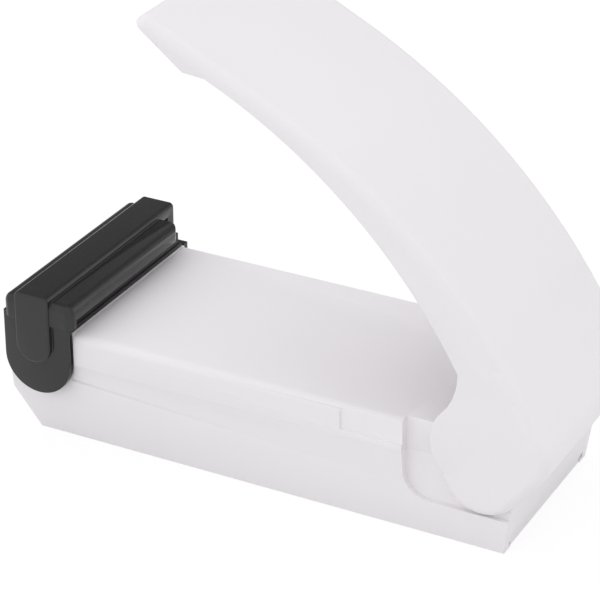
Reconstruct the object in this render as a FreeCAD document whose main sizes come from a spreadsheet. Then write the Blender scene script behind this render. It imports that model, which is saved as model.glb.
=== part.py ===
"""Hand-held bag neck sealer: a battery case, a hot bar under a flip-over cover, and a press arm.

Frame: origin at the middle of the underside, +X to the hinge, -X to the hot bar, +Z up.
Lengths are millimetres. The arm's pieces are drawn pressed shut and then turned open.
"""

import FreeCAD, Part
import math
import os
import re
import Sketcher
from FreeCAD import Placement, Rotation, Vector

doc = FreeCAD.newDocument("bag_neck_sealer")
sheet = doc.addObject("Spreadsheet::Sheet", "Sizes")
reckoner = doc.addObject("Spreadsheet::Sheet", "Reckoner")    # works out formulas, binds nothing
sub_parts = []


# ---------------------------------------------------------------- sizes

# fits
gap = 0.2    # between flat faces that slide or drop in
swing_gap = 0.4    # between round faces that turn past each other
running = 0.05    # play of the hinge pin, the leads and the ribbon
seat_gap = 0.1    # glued or dropped-in trim
film_gap = 0.02    # beside thin films, and screws in their pilots
overrun = 1.0    # cuts run on past the face that they open
root = 0.5    # bosses start inside the wall that carries them

# case, both halves
case_wide = 41.4
foot_in = 2.2    # narrower than the case, each side
case_high = 22.5
lid_deep = 6.3
skirt_proud = 0.1    # lid's sides stand out from the tray's
nose_back = 5.1    # slope under the front end
nose_high = 7.8
tail_back = 1.0    # lean of the rear end
tail_high = 8.6
case_wall = 1.8
deck = 2.1    # top of the front block
ear_behind = 0.2    # from the ears to the lid's joint
bay_behind = 10.8    # from the block to the cell bay
wiring_floor = 4.0
wiring_start = 4.6    # from the front face to the wiring space
bay_front_wall = 1.5
column_wall = 0.8    # round the screw heads
front_ease = 0.9    # chamfer on the block's top front edge

# hinge
hinge_inset = 5.1    # from the rear end
hinge_behind = 16.6    # from the cell bay
hinge_drop = 7.5    # below the lid's top
pin_radius = 1.5
barrel_radius = 7.6    # round end of the arm
barrel_wall = 1.7
cheek_wall = 2.0    # arm's side walls
pin_end_wall = 0.8    # left outside the pin's blind holes
spring_slot_wide = 12.0
spring_slot_in = 0.8    # from the lid's rear
leg_notch_long = 3.0    # for the spring's leg, under the lid
knuckle_back = 0.643    # lower end of the knuckle, as shares of its radius
knuckle_low = 0.766

# arm
arm_open = 38.0    # degrees from shut to stop
arch_fall = 2.473    # from the top of the arch to its front end
arch_ahead = 47.0    # from the hinge to the middle of the arch
arch_rise = 17.4    # outside of the shut arm above the lid
arm_roof = 1.2
arm_tip_wall = 4.6
heel_open = 0.8    # rear wall ends this far below the hinge
skirt_fall = 2.879    # the same for the lower edge of the arm's sides
skirt_ahead = 56.0
skirt_rise = 12.9
skirt_turn = 2.8    # where the side edge turns down to the cheek
nose_over = 0.7    # tip beyond the case
straight_long = 24.8    # the arch runs straight for this length at the tip
nose_blend = 2.2
jaw_room = 0.4    # between the shut arm's tip and the cover
jaw_short = 4.2    # flat under the tip, from the cover's pivot
jaw_slope = 3.6
arm_round = 2.0    # along the arm's upper edges
heel_radius = 6.0    # rear top corner of the arm
cheek_ahead = 12.7
cheek_rise = 4.5
cheek_corner = 8.2
cheek_sweep = 12.0
cheek_foot_back = 0.82    # where the cheek meets the barrel, as shares of its radius
cheek_foot_low = 0.572

# cells and bay
cell_radius = 7.15
cell_long = 50.0    # with its button
cell_edge = 0.6
button_radius = 2.75
button_long = 1.2
cell_apart = 0.9
cell_lift = 2.35    # under the cells
spring_room = 1.8    # along the pressed springs
contact_thick = 0.3
contact_wide = 9.0
contact_bump = 0.5
contact_bump_radius = 1.6
contact_tab_wide = 3.0
contact_tab_high = 1.6    # above the parting line

# door
door_thick = 1.6
door_lap = 1.8
door_edge = 3.0
rail_step = 0.8
rail_reach = 1.0
grip_wide = 18.0
grip_deep = 0.4
grip_pitch = 2.4
grip_groove = 1.2
grip_back = 9.0    # first groove, from the rear end
grip_count = 6

# flip-over cover and its pivots
ear_before = 0.1    # from the front face to the ears
pivot_radius = 2.0
pivot_long = 0.9
ear_radius = 6.9
ear_wall = 1.4
ear_room = 0.3    # round the ears in the case
ear_step = 0.6    # flats that the ears turn on, below the case's sides
ear_proud = 0.3    # ears stand out ahead of the cap
cap_behind = 1.1    # cap's rear beyond the ears
cap_room = 0.7    # over the hot bar
cap_roof = 1.0
cap_wall = 1.2
cap_front_open = 1.5
cap_rear_open = 3.1
ear_cover = 0.6
ear_lap = 1.0    # ears run up this far over the cap's ends
cap_edge = 1.6    # along the top
cap_round = 1.5    # across both ends
band_edge = 0.9
band_round = 0.4    # round the band's ends, down to their tips
notch_long = 5.0    # thumb notch in the rear corner
notch_round = 2.5
band_wide = 7.2
band_front = 3.8    # forward of the pivot
band_proud = 1.2
band_side_proud = 0.5
band_drop = 2.9    # centre of the band's round ends

# heater
frame_foot_front = 5.5    # from the pivot line
frame_foot_rear = 6.7
frame_foot_thick = 0.8
frame_front = 4.9
frame_rear = 6.2
frame_high = 2.9
frame_in = 0.3
frame_end_step = 0.4    # walls end short of the foot
clip_room = 0.5    # for both clamps along the channel
pilot_cover = 0.2    # left between the pilots and the bed
bed_wide = 4.4
frame_end = 2.4
bed_floor = 1.1    # above the deck
bed_high = 4.4
bed_round = 0.7
ribbon_wide = 2.0
ribbon_thick = 0.12
tape_thick = 0.08
tape_drop = 1.6
tape_short = 0.3    # ends short of the bed, each end
ribbon_leg_end = 1.2    # above the channel's floor
clip_start = 0.19    # from the bed's end
clip_thick = 1.2
clip_wide = 3.0
clip_high = 2.4
clip_round = 0.4
lead_radius = 0.55
lead_bend = 3.4
lead_bend_small = 1.6
lead_rise = 0.15    # clear of the parting line
lead_turn_in = 4.0    # the long runs turn inwards ahead of the bay's rear
lead_stud_in = 3.0
lead_leaf_in = 1.8    # soldered this far along the leaf
lead_bow_in = 2.6
lead_bow_rise = 0.5

# silicone pad and jaw
pad_wide = 5.0
pad_thick = 1.2
pad_proud = 0.2
jaw_block_in = 0.7

# liner
liner_thick = 0.8
liner_start = 5.8
liner_short = 4.5
liner_screw_in = 10.0
liner_screw_side = 8.7
liner_screw_bite = 2.7    # pilot in the arm's boss
liner_tip_room = 1.1    # from the screw's tip to the pilot's end
liner_head_in = 0.6    # under the head, above the skirt's edge
liner_boss_radius = 2.8
liner_boss_proud = 0.7
liner_seat = 1.8    # face of the arm's boss above the skirt's edge
arm_boss_radius = 2.3
arm_boss_sink = 0.5    # into the roof

# switch
leaf_thick = 0.3
leaf_drop = 3.2
leaf_wide = 4.8
leaf_long = 13.0
leaf_beyond = 4.4
striker_ahead = 15.8
striker_thick = 1.6
striker_wide = 5.0
striker_over = 0.6    # above the underside of the leaf
switch_in = 12.7    # the switch stands this far inside the left side
leaf_travel = 0.8
stud_radius = 1.3
stud_back = 1.6    # from the leaf's tip
stud_plate_long = 5.6
stud_plate_wide = 5.8
stud_plate_beyond = 1.0    # beyond the leaf's tip
leaf_rivet_back = 2.4    # from the leaf's root
leaf_rivet_radius = 0.8
rivet_head = 0.4
leaf_post_radius = 1.9

# lid
lid_wall = 1.6
lid_clear = 0.3    # from the lid to the knuckles
lid_round = 1.6
lid_boss_wall = 0.5    # over the screw heads' radius
window_before = 0.5    # round the striker
window_behind = 2.6
window_side = 0.6
pocket_ahead = 14.8
pocket_corner = 5.0
side_step_ahead = 11.9    # where the lid's side panel ends
side_step_rise = 1.4
side_step_deep = 0.35

# screws
screw_radius = 1.0
screw_head_radius = 1.8
screw_head_high = 1.2
screw_head_ease = 0.35    # cone round the head's edge
screw_slot_wide = 0.4
screw_slot_long = 2.16
screw_slot_deep = 0.5
case_screw_bite = 3.4    # above the parting line
screw_behind_block = 5.7
screw_in_front = 7.2
screw_behind_bay = 4.8
screw_in_rear = 6.2

# springs
coil_radius = 2.35
coil_wire = 0.35
coil_turns = 7    # full turns between the legs
coil_pitch = 0.95
tray_leg = 7.2
arm_leg = 20.4
cell_spring_radius = 3.2
cell_spring_wire = 0.3
cell_spring_turns = 2.5
cell_spring_taper = 0.3    # share of the radius lost at the small end
wire_sides = 6    # flats that stand for the wires' round

given = {alias: value for alias, value in globals().items() if isinstance(value, (int, float))}

# worked out from the above
worked_out = {
    "switch_side": "=half_wide - switch_in",
    "pivot_back": "=ear_radius + ear_before",
    "block_long": "=pivot_back + ear_radius + ear_behind",
    "cap_front": "=ear_radius - ear_proud",
    "cap_rear": "=ear_radius + cap_behind",
    "lid_short": "=knuckle_radius + lid_clear",
    "case_long": "=block_long + bay_behind + bay_long + hinge_behind + hinge_inset",
    "foot_wide": "=case_wide - foot_in * 2",
    "split_high": "=case_high - lid_deep",
    "hinge_back": "=half_long - hinge_inset",
    "hinge_high": "=case_high - hinge_drop",
    "arch_radius": "=((arch_mid - straight_from) * (arch_mid - straight_from) + arch_fall *"
                   " arch_fall) / (arch_fall * 2)",
    "arch_mid": "=hinge_back - arch_ahead",
    "arch_top": "=case_high + arch_rise",
    "skirt_radius": "=((skirt_mid + jaw_rear - jaw_slope) * (skirt_mid + jaw_rear - jaw_slope) +"
                    " skirt_fall * skirt_fall) / (skirt_fall * 2)",
    "skirt_mid": "=hinge_back - skirt_ahead",
    "skirt_top": "=case_high + skirt_rise",
    "skirt_rear": "=cheek_front - skirt_turn",
    "arm_nose": "=half_long + nose_over",
    "straight_from": "=straight_long - arm_nose",
    "jaw_high": "=cap_high + band_proud + jaw_room",
    "jaw_rear": "=0 - pivot_x - jaw_short",
    "cheek_front": "=hinge_back - cheek_ahead",
    "cheek_front_high": "=hinge_high + cheek_rise",
    "cell_pitch": "=cell_radius * 2 + cell_apart",
    "cell_high": "=cell_radius + cell_lift",
    "bay_front": "=block_rear + bay_behind",
    "bay_long": "=cell_long + contact_thick * 3 + contact_bump + seat_gap * 4 + spring_room",
    "door_front": "=bay_front - door_lap",
    "door_wide": "=foot_wide - door_edge * 2",
    "pivot_high": "=split_high",
    "ear_seat": "=case_wide - ear_step * 2",
    "cap_high": "=bed_top + cap_room + cap_roof",
    "cap_front_edge": "=case_high + cap_front_open",
    "cap_rear_edge": "=case_high + cap_rear_open",
    "cap_wide": "=(ear_outside + ear_cover) * 2",
    "band_end": "=case_high - band_drop",
    "frame_wide": "=ear_seat - frame_in * 2",
    "bed_long": "=frame_wide - frame_end * 2",
    "jaw_block_rear": "=jaw_rear - jaw_block_in",
    "liner_front": "=jaw_slope - jaw_rear + liner_start",
    "liner_rear": "=skirt_rear - liner_short",
    "liner_screw_back": "=liner_rear - liner_screw_in",
    "liner_screw_pitch": "=case_wide - liner_screw_side * 2",
    "leaf_high": "=case_high - leaf_drop",
    "leaf_root": "=leaf_tip - leaf_long",
    "leaf_tip": "=striker_front + leaf_beyond",
    "striker_front": "=hinge_back - striker_ahead",
    "striker_low": "=leaf_high + striker_over",
    "stud_high": "=leaf_high - leaf_travel",
    "lid_rear": "=hinge_back - lid_short",
    "pocket_front": "=hinge_back - pocket_ahead",
    "side_step": "=pocket_front - side_step_ahead",
    "side_step_high": "=split_high + side_step_rise",
    "screw_back_front": "=block_rear + screw_behind_block",
    "screw_pitch_front": "=case_wide - screw_in_front * 2",
    "screw_back_rear": "=bay_rear + screw_behind_bay",
    "screw_pitch_rear": "=case_wide - screw_in_rear * 2",
    "half_long": "=case_long / 2",
    "half_wide": "=case_wide / 2",
    "tray_half": "=half_wide - skirt_proud",
    "foot_half": "=foot_wide / 2",
    "block_rear": "=block_long - half_long",
    "cheek_inside": "=half_wide - cheek_wall",
    "waist_half": "=cheek_inside - gap",
    "knuckle_radius": "=barrel_radius - barrel_wall - swing_gap",
    "barrel_bed": "=barrel_radius + swing_gap",
    "pocket_floor": "=hinge_high - barrel_bed",
    "arch_low": "=arch_top - arch_radius",
    "roof_radius": "=arch_radius - arm_roof",
    "skirt_low": "=skirt_top - skirt_radius",
    "barrel_rear": "=hinge_back + barrel_radius",
    "pivot_x": "=pivot_back - half_long",
    "ear_inside": "=ear_seat / 2 + gap",
    "ear_outside": "=ear_inside + ear_wall",
    "frame_top": "=case_high + frame_high",
    "bed_top": "=case_high + bed_high",
    "ribbon_top": "=bed_top + ribbon_thick",
    "bay_rear": "=bay_front + bay_long",
    "lid_inside": "=case_high - lid_wall",
}
contents = {**given, **worked_out}
for row, alias in enumerate(contents, 1):
    sheet.set(f"A{row}", alias)
    sheet.setAlias(f"B{row}", alias)
for row, content in enumerate(contents.values(), 1):
    sheet.set(f"B{row}", str(content))
doc.recompute()


def bound(formula):
    """Formula of sheet aliases, as an expression that an object can be bound to."""
    return re.sub(r"[a-z]\w+(?!\w*\()", r"Sizes.\g<0>", formula)


def number(formula):
    """Value of a formula of sheet aliases."""
    reckoner.set("A1", "=" + bound(formula))
    reckoner.recompute()
    return float(reckoner.get("A1"))


# ---------------------------------------------------------------- tools

def bind(thing, **formulas):
    """Bind properties of an object to formulas of the sheet."""
    for name, formula in formulas.items():
        thing.setExpression(name, bound(formula))


def new_body(label):
    """Empty body whose label names its file."""
    body = doc.addObject("PartDesign::Body", label)
    body.Label = label
    sub_parts.append(body)
    return body


def origin_plane(body, role):
    return next(item for item in body.Origin.OriginFeatures if item.Role == role)


def pin_point(drawing, geometry, end, x, z):
    """Hold one end of an edge at (x, z), both formulas."""
    for kind, formula in (("DistanceX", x), ("DistanceY", z)):
        held = Sketcher.Constraint(kind, -1, 1, geometry, end, number(formula))
        drawing.setExpression(f"Constraints[{drawing.addConstraint(held)}]", bound(formula))


def arc_between(start, end, radius, turn):
    """Arc of the smaller sweep from start to end; turn 1 is anticlockwise, -1 clockwise."""
    chord = end - start
    rise = math.sqrt(max(radius ** 2 - (chord.Length / 2) ** 2, 0))
    aside = Vector(-chord.y, chord.x, 0).normalize()
    centre = (start + end) / 2 + aside * rise * turn
    first, last = (start, end) if turn > 0 else (end, start)
    angles = [math.atan2(p.y - centre.y, p.x - centre.x) for p in (first, last)]
    circle = Part.Circle(centre, Vector(0, 0, 1), radius)
    return Part.ArcOfCircle(circle, angles[0], angles[1])


def draw_loop(drawing, corners):
    """Closed outline. A corner is (x, z), or (x, z, radius, turn) where an arc leaves it."""
    spots = [Vector(number(corner[0]), number(corner[1]), 0) for corner in corners]
    first = drawing.GeometryCount
    ends = []
    for index, corner in enumerate(corners):
        start, end = spots[index], spots[(index + 1) % len(corners)]
        if len(corner) == 2:
            drawing.addGeometry(Part.LineSegment(start, end))
            ends.append((1, 2))
        else:
            drawing.addGeometry(arc_between(start, end, number(corner[2]), corner[3]))
            ends.append((1, 2) if corner[3] > 0 else (2, 1))
    for index, corner in enumerate(corners):
        edge, following = first + index, (index + 1) % len(corners)
        pin_point(drawing, edge, ends[index][0], corner[0], corner[1])
        pair = (edge, ends[index][1], first + following, ends[following][0])
        drawing.addConstraint(Sketcher.Constraint("Coincident", *pair))
        if len(corner) > 2:
            held = Sketcher.Constraint("Radius", edge, number(corner[2]))
            drawing.setExpression(f"Constraints[{drawing.addConstraint(held)}]", bound(corner[2]))


def draw_circle(drawing, x, z, radius):
    """Circle with its centre and radius held by formulas."""
    centre = Vector(number(x), number(z), 0)
    edge = drawing.addGeometry(Part.Circle(centre, Vector(0, 0, 1), number(radius)))
    pin_point(drawing, edge, 3, x, z)
    held = Sketcher.Constraint("Radius", edge, number(radius))
    drawing.setExpression(f"Constraints[{drawing.addConstraint(held)}]", bound(radius))


def sketch(body, role, loops=(), circles=(), lift="0"):
    """Sketch on one of the body's origin planes, lifted along the plane's normal."""
    drawing = body.newObject("Sketcher::SketchObject", "Drawing")
    drawing.AttachmentSupport = [(origin_plane(body, role), "")]
    drawing.MapMode = "FlatFace"
    drawing.setExpression("AttachmentOffset.Base.z", bound(lift))
    for loop in loops:
        draw_loop(drawing, loop)
    for circle in circles:
        draw_circle(drawing, *circle)
    return drawing


def pad(body, drawing, length, middle=False, backwards=False):
    feature = body.newObject("PartDesign::Pad", "Pad")
    feature.Profile = drawing
    feature.Midplane = middle
    feature.Reversed = backwards
    bind(feature, Length=length)
    drawing.Visibility = False
    return feature


def pocket(body, drawing, length=None, middle=False, backwards=False):
    """Cut; without a length it goes through everything. Stops the build if nothing is cut."""
    doc.recompute()
    before = body.Shape.Volume
    feature = body.newObject("PartDesign::Pocket", "Pocket")
    feature.Profile = drawing
    feature.Midplane = middle
    feature.Reversed = backwards
    if length is None:
        feature.Type = "ThroughAll"
    else:
        bind(feature, Length=length)
    doc.recompute()
    if not body.Shape.Volume < before - 1e-6:
        raise RuntimeError(f"{body.Label}: {feature.Name} cuts nothing")
    return feature


def mirror(body, *features):
    """Repeat features on the other side of the middle plane."""
    feature = body.newObject("PartDesign::Mirrored", "Mirrored")
    feature.Originals = list(features)
    feature.MirrorPlane = (origin_plane(body, "XZ_Plane"), [""])
    body.Tip = feature
    return feature


def rectangle(x_low, x_high, z_low, z_high):
    return [(x_low, z_low), (x_high, z_low), (x_high, z_high), (x_low, z_high)]


def fillet(body, radius, wanted):
    """Round the edges whose midpoint passes the test."""
    doc.recompute()
    base = body.Tip
    names = []
    for index, edge in enumerate(base.Shape.Edges, 1):
        middle = edge.valueAt((edge.FirstParameter + edge.LastParameter) / 2)
        if wanted(edge, middle):
            names.append(f"Edge{index}")
    feature = body.newObject("PartDesign::Fillet", "Fillet")
    feature.Base = (base, names)
    bind(feature, Radius=radius)
    doc.recompute()
    return feature


def near(first, second):
    return abs(first - second) < 0.02


def runs_along(edge, axis):
    """True for a straight edge along 'x', 'y' or 'z'."""
    reach = edge.Vertexes[-1].Point - edge.Vertexes[0].Point
    rest = [abs(getattr(reach, name)) for name in "xyz" if name != axis]
    return abs(getattr(reach, axis)) > 1e-3 and max(rest) < 1e-3


def on_arc(middle, low, radius, x):
    """Formula of the height of an arch's upper side at x."""
    return f"{low} + sqrt({radius} * {radius} - ({x} - {middle}) * ({x} - {middle}))"


def heel_ends(rear, radius, arch):
    """Ends of the arc that joins the arm's upright rear wall to its arch, touching both."""
    across = f"({rear} - {radius} - arch_mid)"
    centre = f"sqrt(({arch} - {radius}) * ({arch} - {radius}) - {across} * {across})"
    share = f"{arch} / ({arch} - {radius})"
    low = (rear, f"arch_low + {centre}")
    return low, (f"arch_mid + {across} * {share}", f"arch_low + {centre} * {share}")


def open_arm(body):
    """Turn a piece of the arm from shut, as it is drawn, to its open rest."""
    hinge = Vector(number("hinge_back"), 0, number("hinge_high"))
    turn = Rotation(Vector(0, 1, 0), number("arm_open"))
    body.Placement = Placement(hinge - turn.multVec(hinge), turn)


def feature_of(label, shape):
    """Sub-part whose shape is made directly, for coils, bent wire and sets of screws."""
    item = doc.addObject("Part::Feature", label)
    item.Label = label
    item.Shape = shape
    sub_parts.append(item)
    return item


# ---------------------------------------------------------------- outlines used twice

# side pocket that the arm's cheek swings in, open at the top and the rear
cheek_pocket = [
    ("pocket_front", "case_high + overrun"),
    ("pocket_front", "pocket_floor + pocket_corner", "pocket_corner", 1),
    ("pocket_front + pocket_corner", "pocket_floor"),
    ("half_long + overrun", "pocket_floor"),
    ("half_long + overrun", "case_high + overrun"),
]


# ---------------------------------------------------------------- lower case

def lower_case():
    """Tray with the battery bay, the tall front block, the ear pivots and the hinge knuckle."""
    body = new_body("lower_case")
    section = [
        ("0 - foot_half", "0"), ("foot_half", "0"),
        ("tray_half", "split_high"), ("tray_half", "case_high"),
        ("0 - tray_half", "case_high"), ("0 - tray_half", "split_high"),
    ]
    pad(body, sketch(body, "YZ_Plane", [section], lift="0 - half_long"), "case_long")

    front_slope = [
        ("0 - half_long", "nose_high"), ("0 - half_long - overrun", "nose_high"),
        ("0 - half_long - overrun", "0 - overrun"), ("nose_back - half_long", "0 - overrun"),
        ("nose_back - half_long", "0"),
    ]
    rear_slope = [
        ("half_long", "tail_high"), ("half_long - tail_back", "0"),
        ("half_long - tail_back", "0 - overrun"), ("half_long + overrun", "0 - overrun"),
        ("half_long + overrun", "tail_high"),
    ]
    front_ease = [
        ("0 - half_long", "case_high - front_ease"), ("front_ease - half_long", "case_high"),
        ("front_ease - half_long", "case_high + overrun"), ("0 - half_long - overrun", "case_high + overrun"),
        ("0 - half_long - overrun", "case_high - front_ease"),
    ]
    # everything above the parting line behind the front block, except the round knuckle
    over = "sqrt(knuckle_radius * knuckle_radius - (split_high - hinge_high) * (split_high - hinge_high))"
    above_split = [
        ("block_rear", "split_high"),
        (f"hinge_back - {over}", "split_high", "knuckle_radius", -1),
        ("hinge_back", "hinge_high + knuckle_radius", "knuckle_radius", -1),
        ("hinge_back + knuckle_radius * knuckle_back",
         "hinge_high - knuckle_radius * knuckle_low"),
        ("hinge_back + barrel_bed * knuckle_back", "hinge_high - barrel_bed * knuckle_low"),
        ("half_long + overrun", "hinge_high - barrel_bed * knuckle_low"),
        ("half_long + overrun", "case_high + overrun"),
        ("block_rear", "case_high + overrun"),
    ]
    for outline in (front_slope, rear_slope, front_ease, above_split):
        pocket(body, sketch(body, "XZ_Plane", [outline]), middle=True)

    bay = [
        ("case_wall - foot_half", "case_wall"), ("foot_half - case_wall", "case_wall"),
        ("tray_half - case_wall", "split_high"), ("tray_half - case_wall", "case_high + overrun"),
        ("case_wall - tray_half", "case_high + overrun"), ("case_wall - tray_half", "split_high"),
    ]
    pocket(body, sketch(body, "YZ_Plane", [bay], lift="bay_front"), "bay_long", backwards=True)

    wiring = [
        ("case_wall - foot_half", "wiring_floor"), ("foot_half - case_wall", "wiring_floor"),
        ("tray_half - case_wall", "split_high"), ("tray_half - case_wall", "case_high - deck"),
        ("case_wall - tray_half", "case_high - deck"), ("case_wall - tray_half", "split_high"),
    ]
    wiring_sketch = sketch(body, "YZ_Plane", [wiring], lift="wiring_start - half_long")
    pocket(body, wiring_sketch, "bay_front - bay_front_wall - wiring_start + half_long", backwards=True)

    rail = "door_wide / 2 + gap"
    channel = [
        (f"0 - ({rail})", "0 - overrun"), (rail, "0 - overrun"), (rail, "rail_step - gap"),
        (f"{rail} + rail_reach", "rail_step - gap"), (f"{rail} + rail_reach", "door_thick + gap"),
        (f"0 - ({rail} + rail_reach)", "door_thick + gap"),
        (f"0 - ({rail} + rail_reach)", "rail_step - gap"), (f"0 - ({rail})", "rail_step - gap"),
    ]
    channel_sketch = sketch(body, "YZ_Plane", [channel], lift="door_front - gap")
    pocket(body, channel_sketch, "half_long - door_front + overrun", backwards=True)

    cheeks = pocket(body, sketch(body, "XZ_Plane", [cheek_pocket], lift="waist_half"), backwards=True)
    mirror(body, cheeks)

    seat = "ear_radius + ear_room"
    ear_recess = [
        ("0 - half_long - overrun", f"pivot_high - ({seat})"),
        ("pivot_x", f"pivot_high - ({seat})", seat, 1),
        (f"pivot_x + {seat}", "pivot_high"),
        (f"pivot_x + {seat}", "case_high + overrun"),
        ("0 - half_long - overrun", "case_high + overrun"),
    ]
    ears = pocket(body, sketch(body, "XZ_Plane", [ear_recess], lift="ear_seat / 2"), backwards=True)
    mirror(body, ears)

    boss_sketch = sketch(body, "XZ_Plane", circles=[("pivot_x", "pivot_high", "pivot_radius")],
                         lift="ear_seat / 2 - root")
    mirror(body, pad(body, boss_sketch, "pivot_long + root"))

    bore = sketch(body, "XZ_Plane", circles=[("hinge_back", "hinge_high", "pin_radius + running")])
    pocket(body, bore, middle=True)
    under_coil = "hinge_high - coil_radius - coil_wire - gap"
    slot = rectangle("lid_rear + spring_slot_in", "half_long + overrun", under_coil,
                     "case_high + overrun")
    pocket(body, sketch(body, "XZ_Plane", [slot]), "spring_slot_wide", middle=True)
    leg_notch = rectangle("lid_rear - leg_notch_long", "lid_rear + overrun", under_coil,
                          "split_high + overrun")
    pocket(body, sketch(body, "XZ_Plane", [leg_notch]), "spring_slot_wide", middle=True)

    # columns and holes for the case screws
    front_spot = ("screw_back_front", "screw_pitch_front / 2")
    rear_spot = ("screw_back_rear", "screw_pitch_rear / 2")
    column = sketch(body, "XY_Plane", circles=[(*front_spot, "screw_head_radius + column_wall")],
                    lift="wiring_floor - root")
    columns = pad(body, column, "split_high - wiring_floor + root")
    mirror(body, columns)
    for spot, base in ((front_spot, "0"), (rear_spot, "door_thick + gap")):
        shank = sketch(body, "XY_Plane", circles=[(*spot, "screw_radius + gap")], lift=base)
        shank_cut = pocket(body, shank, "case_high", backwards=True)
        mirror(body, shank_cut)
        head = sketch(body, "XY_Plane", circles=[(*spot, "screw_head_radius + gap")], lift=base)
        mirror(body, pocket(body, head, "screw_head_high + gap", backwards=True))

    # lead holes and frame screw holes through the deck
    lead_y = "bed_long / 2 + clip_start + clip_thick / 2"
    for y, radius in ((lead_y, "lead_radius + gap"), ("bed_long / 4", "screw_radius + gap")):
        hole = sketch(body, "XY_Plane", circles=[("pivot_x", y, radius)], lift="case_high + overrun")
        mirror(body, pocket(body, hole, "deck + overrun + root"))
    return body


# ---------------------------------------------------------------- lid

def upper_case():
    """Lid over the cells: flat top, side skirts, screw bosses and the striker's window."""
    body = new_body("upper_case")
    section = rectangle("0 - half_wide", "half_wide", "split_high", "case_high")
    pad(body, sketch(body, "YZ_Plane", [section], lift="block_rear + seat_gap"),
        "lid_rear - block_rear - seat_gap")
    top, side = number("case_high"), number("half_wide")
    fillet(body, "lid_round", lambda edge, at: runs_along(edge, "x") and near(at.z, top)
           and near(abs(at.y), side))

    rear_x = number("lid_rear")
    fillet(body, "lid_round", lambda edge, at: near(at.x, rear_x) and near(at.z, top))

    wide = rectangle("lid_wall - half_wide", "half_wide - lid_wall", "split_high - overrun", "lid_inside")
    narrow = rectangle("lid_wall - waist_half", "waist_half - lid_wall", "split_high - overrun", "lid_inside")
    pocket(body, sketch(body, "YZ_Plane", [wide], lift="block_rear - overrun"),
           "pocket_front - lid_wall - block_rear + overrun", backwards=True)
    pocket(body, sketch(body, "YZ_Plane", [narrow], lift="block_rear - overrun"),
           "lid_rear - lid_wall - block_rear + overrun", backwards=True)
    cheeks = pocket(body, sketch(body, "XZ_Plane", [cheek_pocket], lift="waist_half"), backwards=True)
    mirror(body, cheeks)

    panel = rectangle("side_step", "pocket_front + overrun", "side_step_high", "case_high + overrun")
    step = sketch(body, "XZ_Plane", [panel], lift="half_wide - side_step_deep")
    mirror(body, pocket(body, step, backwards=True))

    window = rectangle("striker_front - window_before", "striker_front + striker_thick + window_behind",
                       "switch_side - striker_wide / 2 - window_side",
                       "switch_side + striker_wide / 2 + window_side")
    pocket(body, sketch(body, "XY_Plane", [window], lift="case_high + overrun"), "lid_wall + overrun * 2")

    spots = (("screw_back_front", "screw_pitch_front / 2"), ("screw_back_rear", "screw_pitch_rear / 2"))
    for spot in spots:
        boss = sketch(body, "XY_Plane", circles=[(*spot, "screw_head_radius + lid_boss_wall")],
                      lift="split_high")
        mirror(body, pad(body, boss, "lid_inside - split_high + root"))
        pilot = sketch(body, "XY_Plane", circles=[(*spot, "screw_radius + film_gap")],
                       lift="split_high")
        mirror(body, pocket(body, pilot, "lid_inside - split_high", backwards=True))

    # post and rivet that hold the switch leaf
    rivet_spot = ("leaf_root + leaf_rivet_back", "switch_side")
    post = sketch(body, "XY_Plane", circles=[(*rivet_spot, "leaf_post_radius")],
                  lift="leaf_high + leaf_thick")
    pad(body, post, "lid_inside - leaf_high - leaf_thick + root")
    rivet = sketch(body, "XY_Plane", circles=[(*rivet_spot, "leaf_rivet_radius")],
                   lift="leaf_high - rivet_head")
    pad(body, rivet, "leaf_thick + rivet_head * 2")
    return body


# ---------------------------------------------------------------- cells, contacts and door

def cell(label, side, way):
    """AA cell: can and button turned about its long axis; way 1 has its button to the front."""
    body = new_body(label)
    inset = "contact_thick + contact_bump + seat_gap * 2"
    button = f"bay_front + {inset}" if way > 0 else f"bay_rear - ({inset})"
    sign = "+" if way > 0 else "-"
    can, tail = f"{button} {sign} button_long", f"{button} {sign} cell_long"
    outline = [
        (button, "0"), (tail, "0"), (tail, "cell_radius - cell_edge"),
        (f"{tail} {'-' if way > 0 else '+'} cell_edge", "cell_radius"),
        (f"{can} {sign} cell_edge", "cell_radius"),
        (can, "cell_radius - cell_edge"), (can, "button_radius"), (button, "button_radius"),
    ]
    drawing = sketch(body, "XZ_Plane", [outline])
    turned = body.newObject("PartDesign::Revolution", "Revolution")
    turned.Profile = drawing
    turned.ReferenceAxis = (drawing, ["H_Axis"])
    turned.Angle = 360
    body.Placement.Base = Vector(0, side * number("cell_pitch / 2"), number("cell_high"))
    return body


def contact(label, at_front, sides):
    """Stamped end contact: a plate that stands in the bay, with a bump under each cell button."""
    body = new_body(label)
    low, high = ("0 - (cell_pitch + contact_wide) / 2", "(cell_pitch + contact_wide) / 2")
    if sides == "left":
        low = "(cell_pitch - contact_wide) / 2"
    if sides == "right":
        high = "(contact_wide - cell_pitch) / 2"
    plate = rectangle(low, high, "cell_high - contact_wide / 2", "cell_high + contact_wide / 2")
    lift = "bay_front + seat_gap" if at_front else "bay_rear - seat_gap - contact_thick"
    pad(body, sketch(body, "YZ_Plane", [plate], lift=lift), "contact_thick")
    tab_mid = {"both": "0 - cell_pitch / 2", "left": "cell_pitch / 2", "right": "0 - cell_pitch / 2"}[sides]
    tab = rectangle(f"{tab_mid} - contact_tab_wide / 2", f"{tab_mid} + contact_tab_wide / 2",
                    "cell_high", "split_high + contact_tab_high")
    if not at_front:
        pad(body, sketch(body, "YZ_Plane", [tab], lift=lift), "contact_thick")
    bump_y = {"both": "cell_pitch / 2", "left": None, "right": "0 - cell_pitch / 2"}[sides]
    if bump_y:
        bump = sketch(body, "YZ_Plane", circles=[(bump_y, "cell_high", "contact_bump_radius")],
                      lift=f"{lift} + contact_thick" if at_front else lift)
        pad(body, bump, "contact_bump", backwards=not at_front)
    return body


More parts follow.
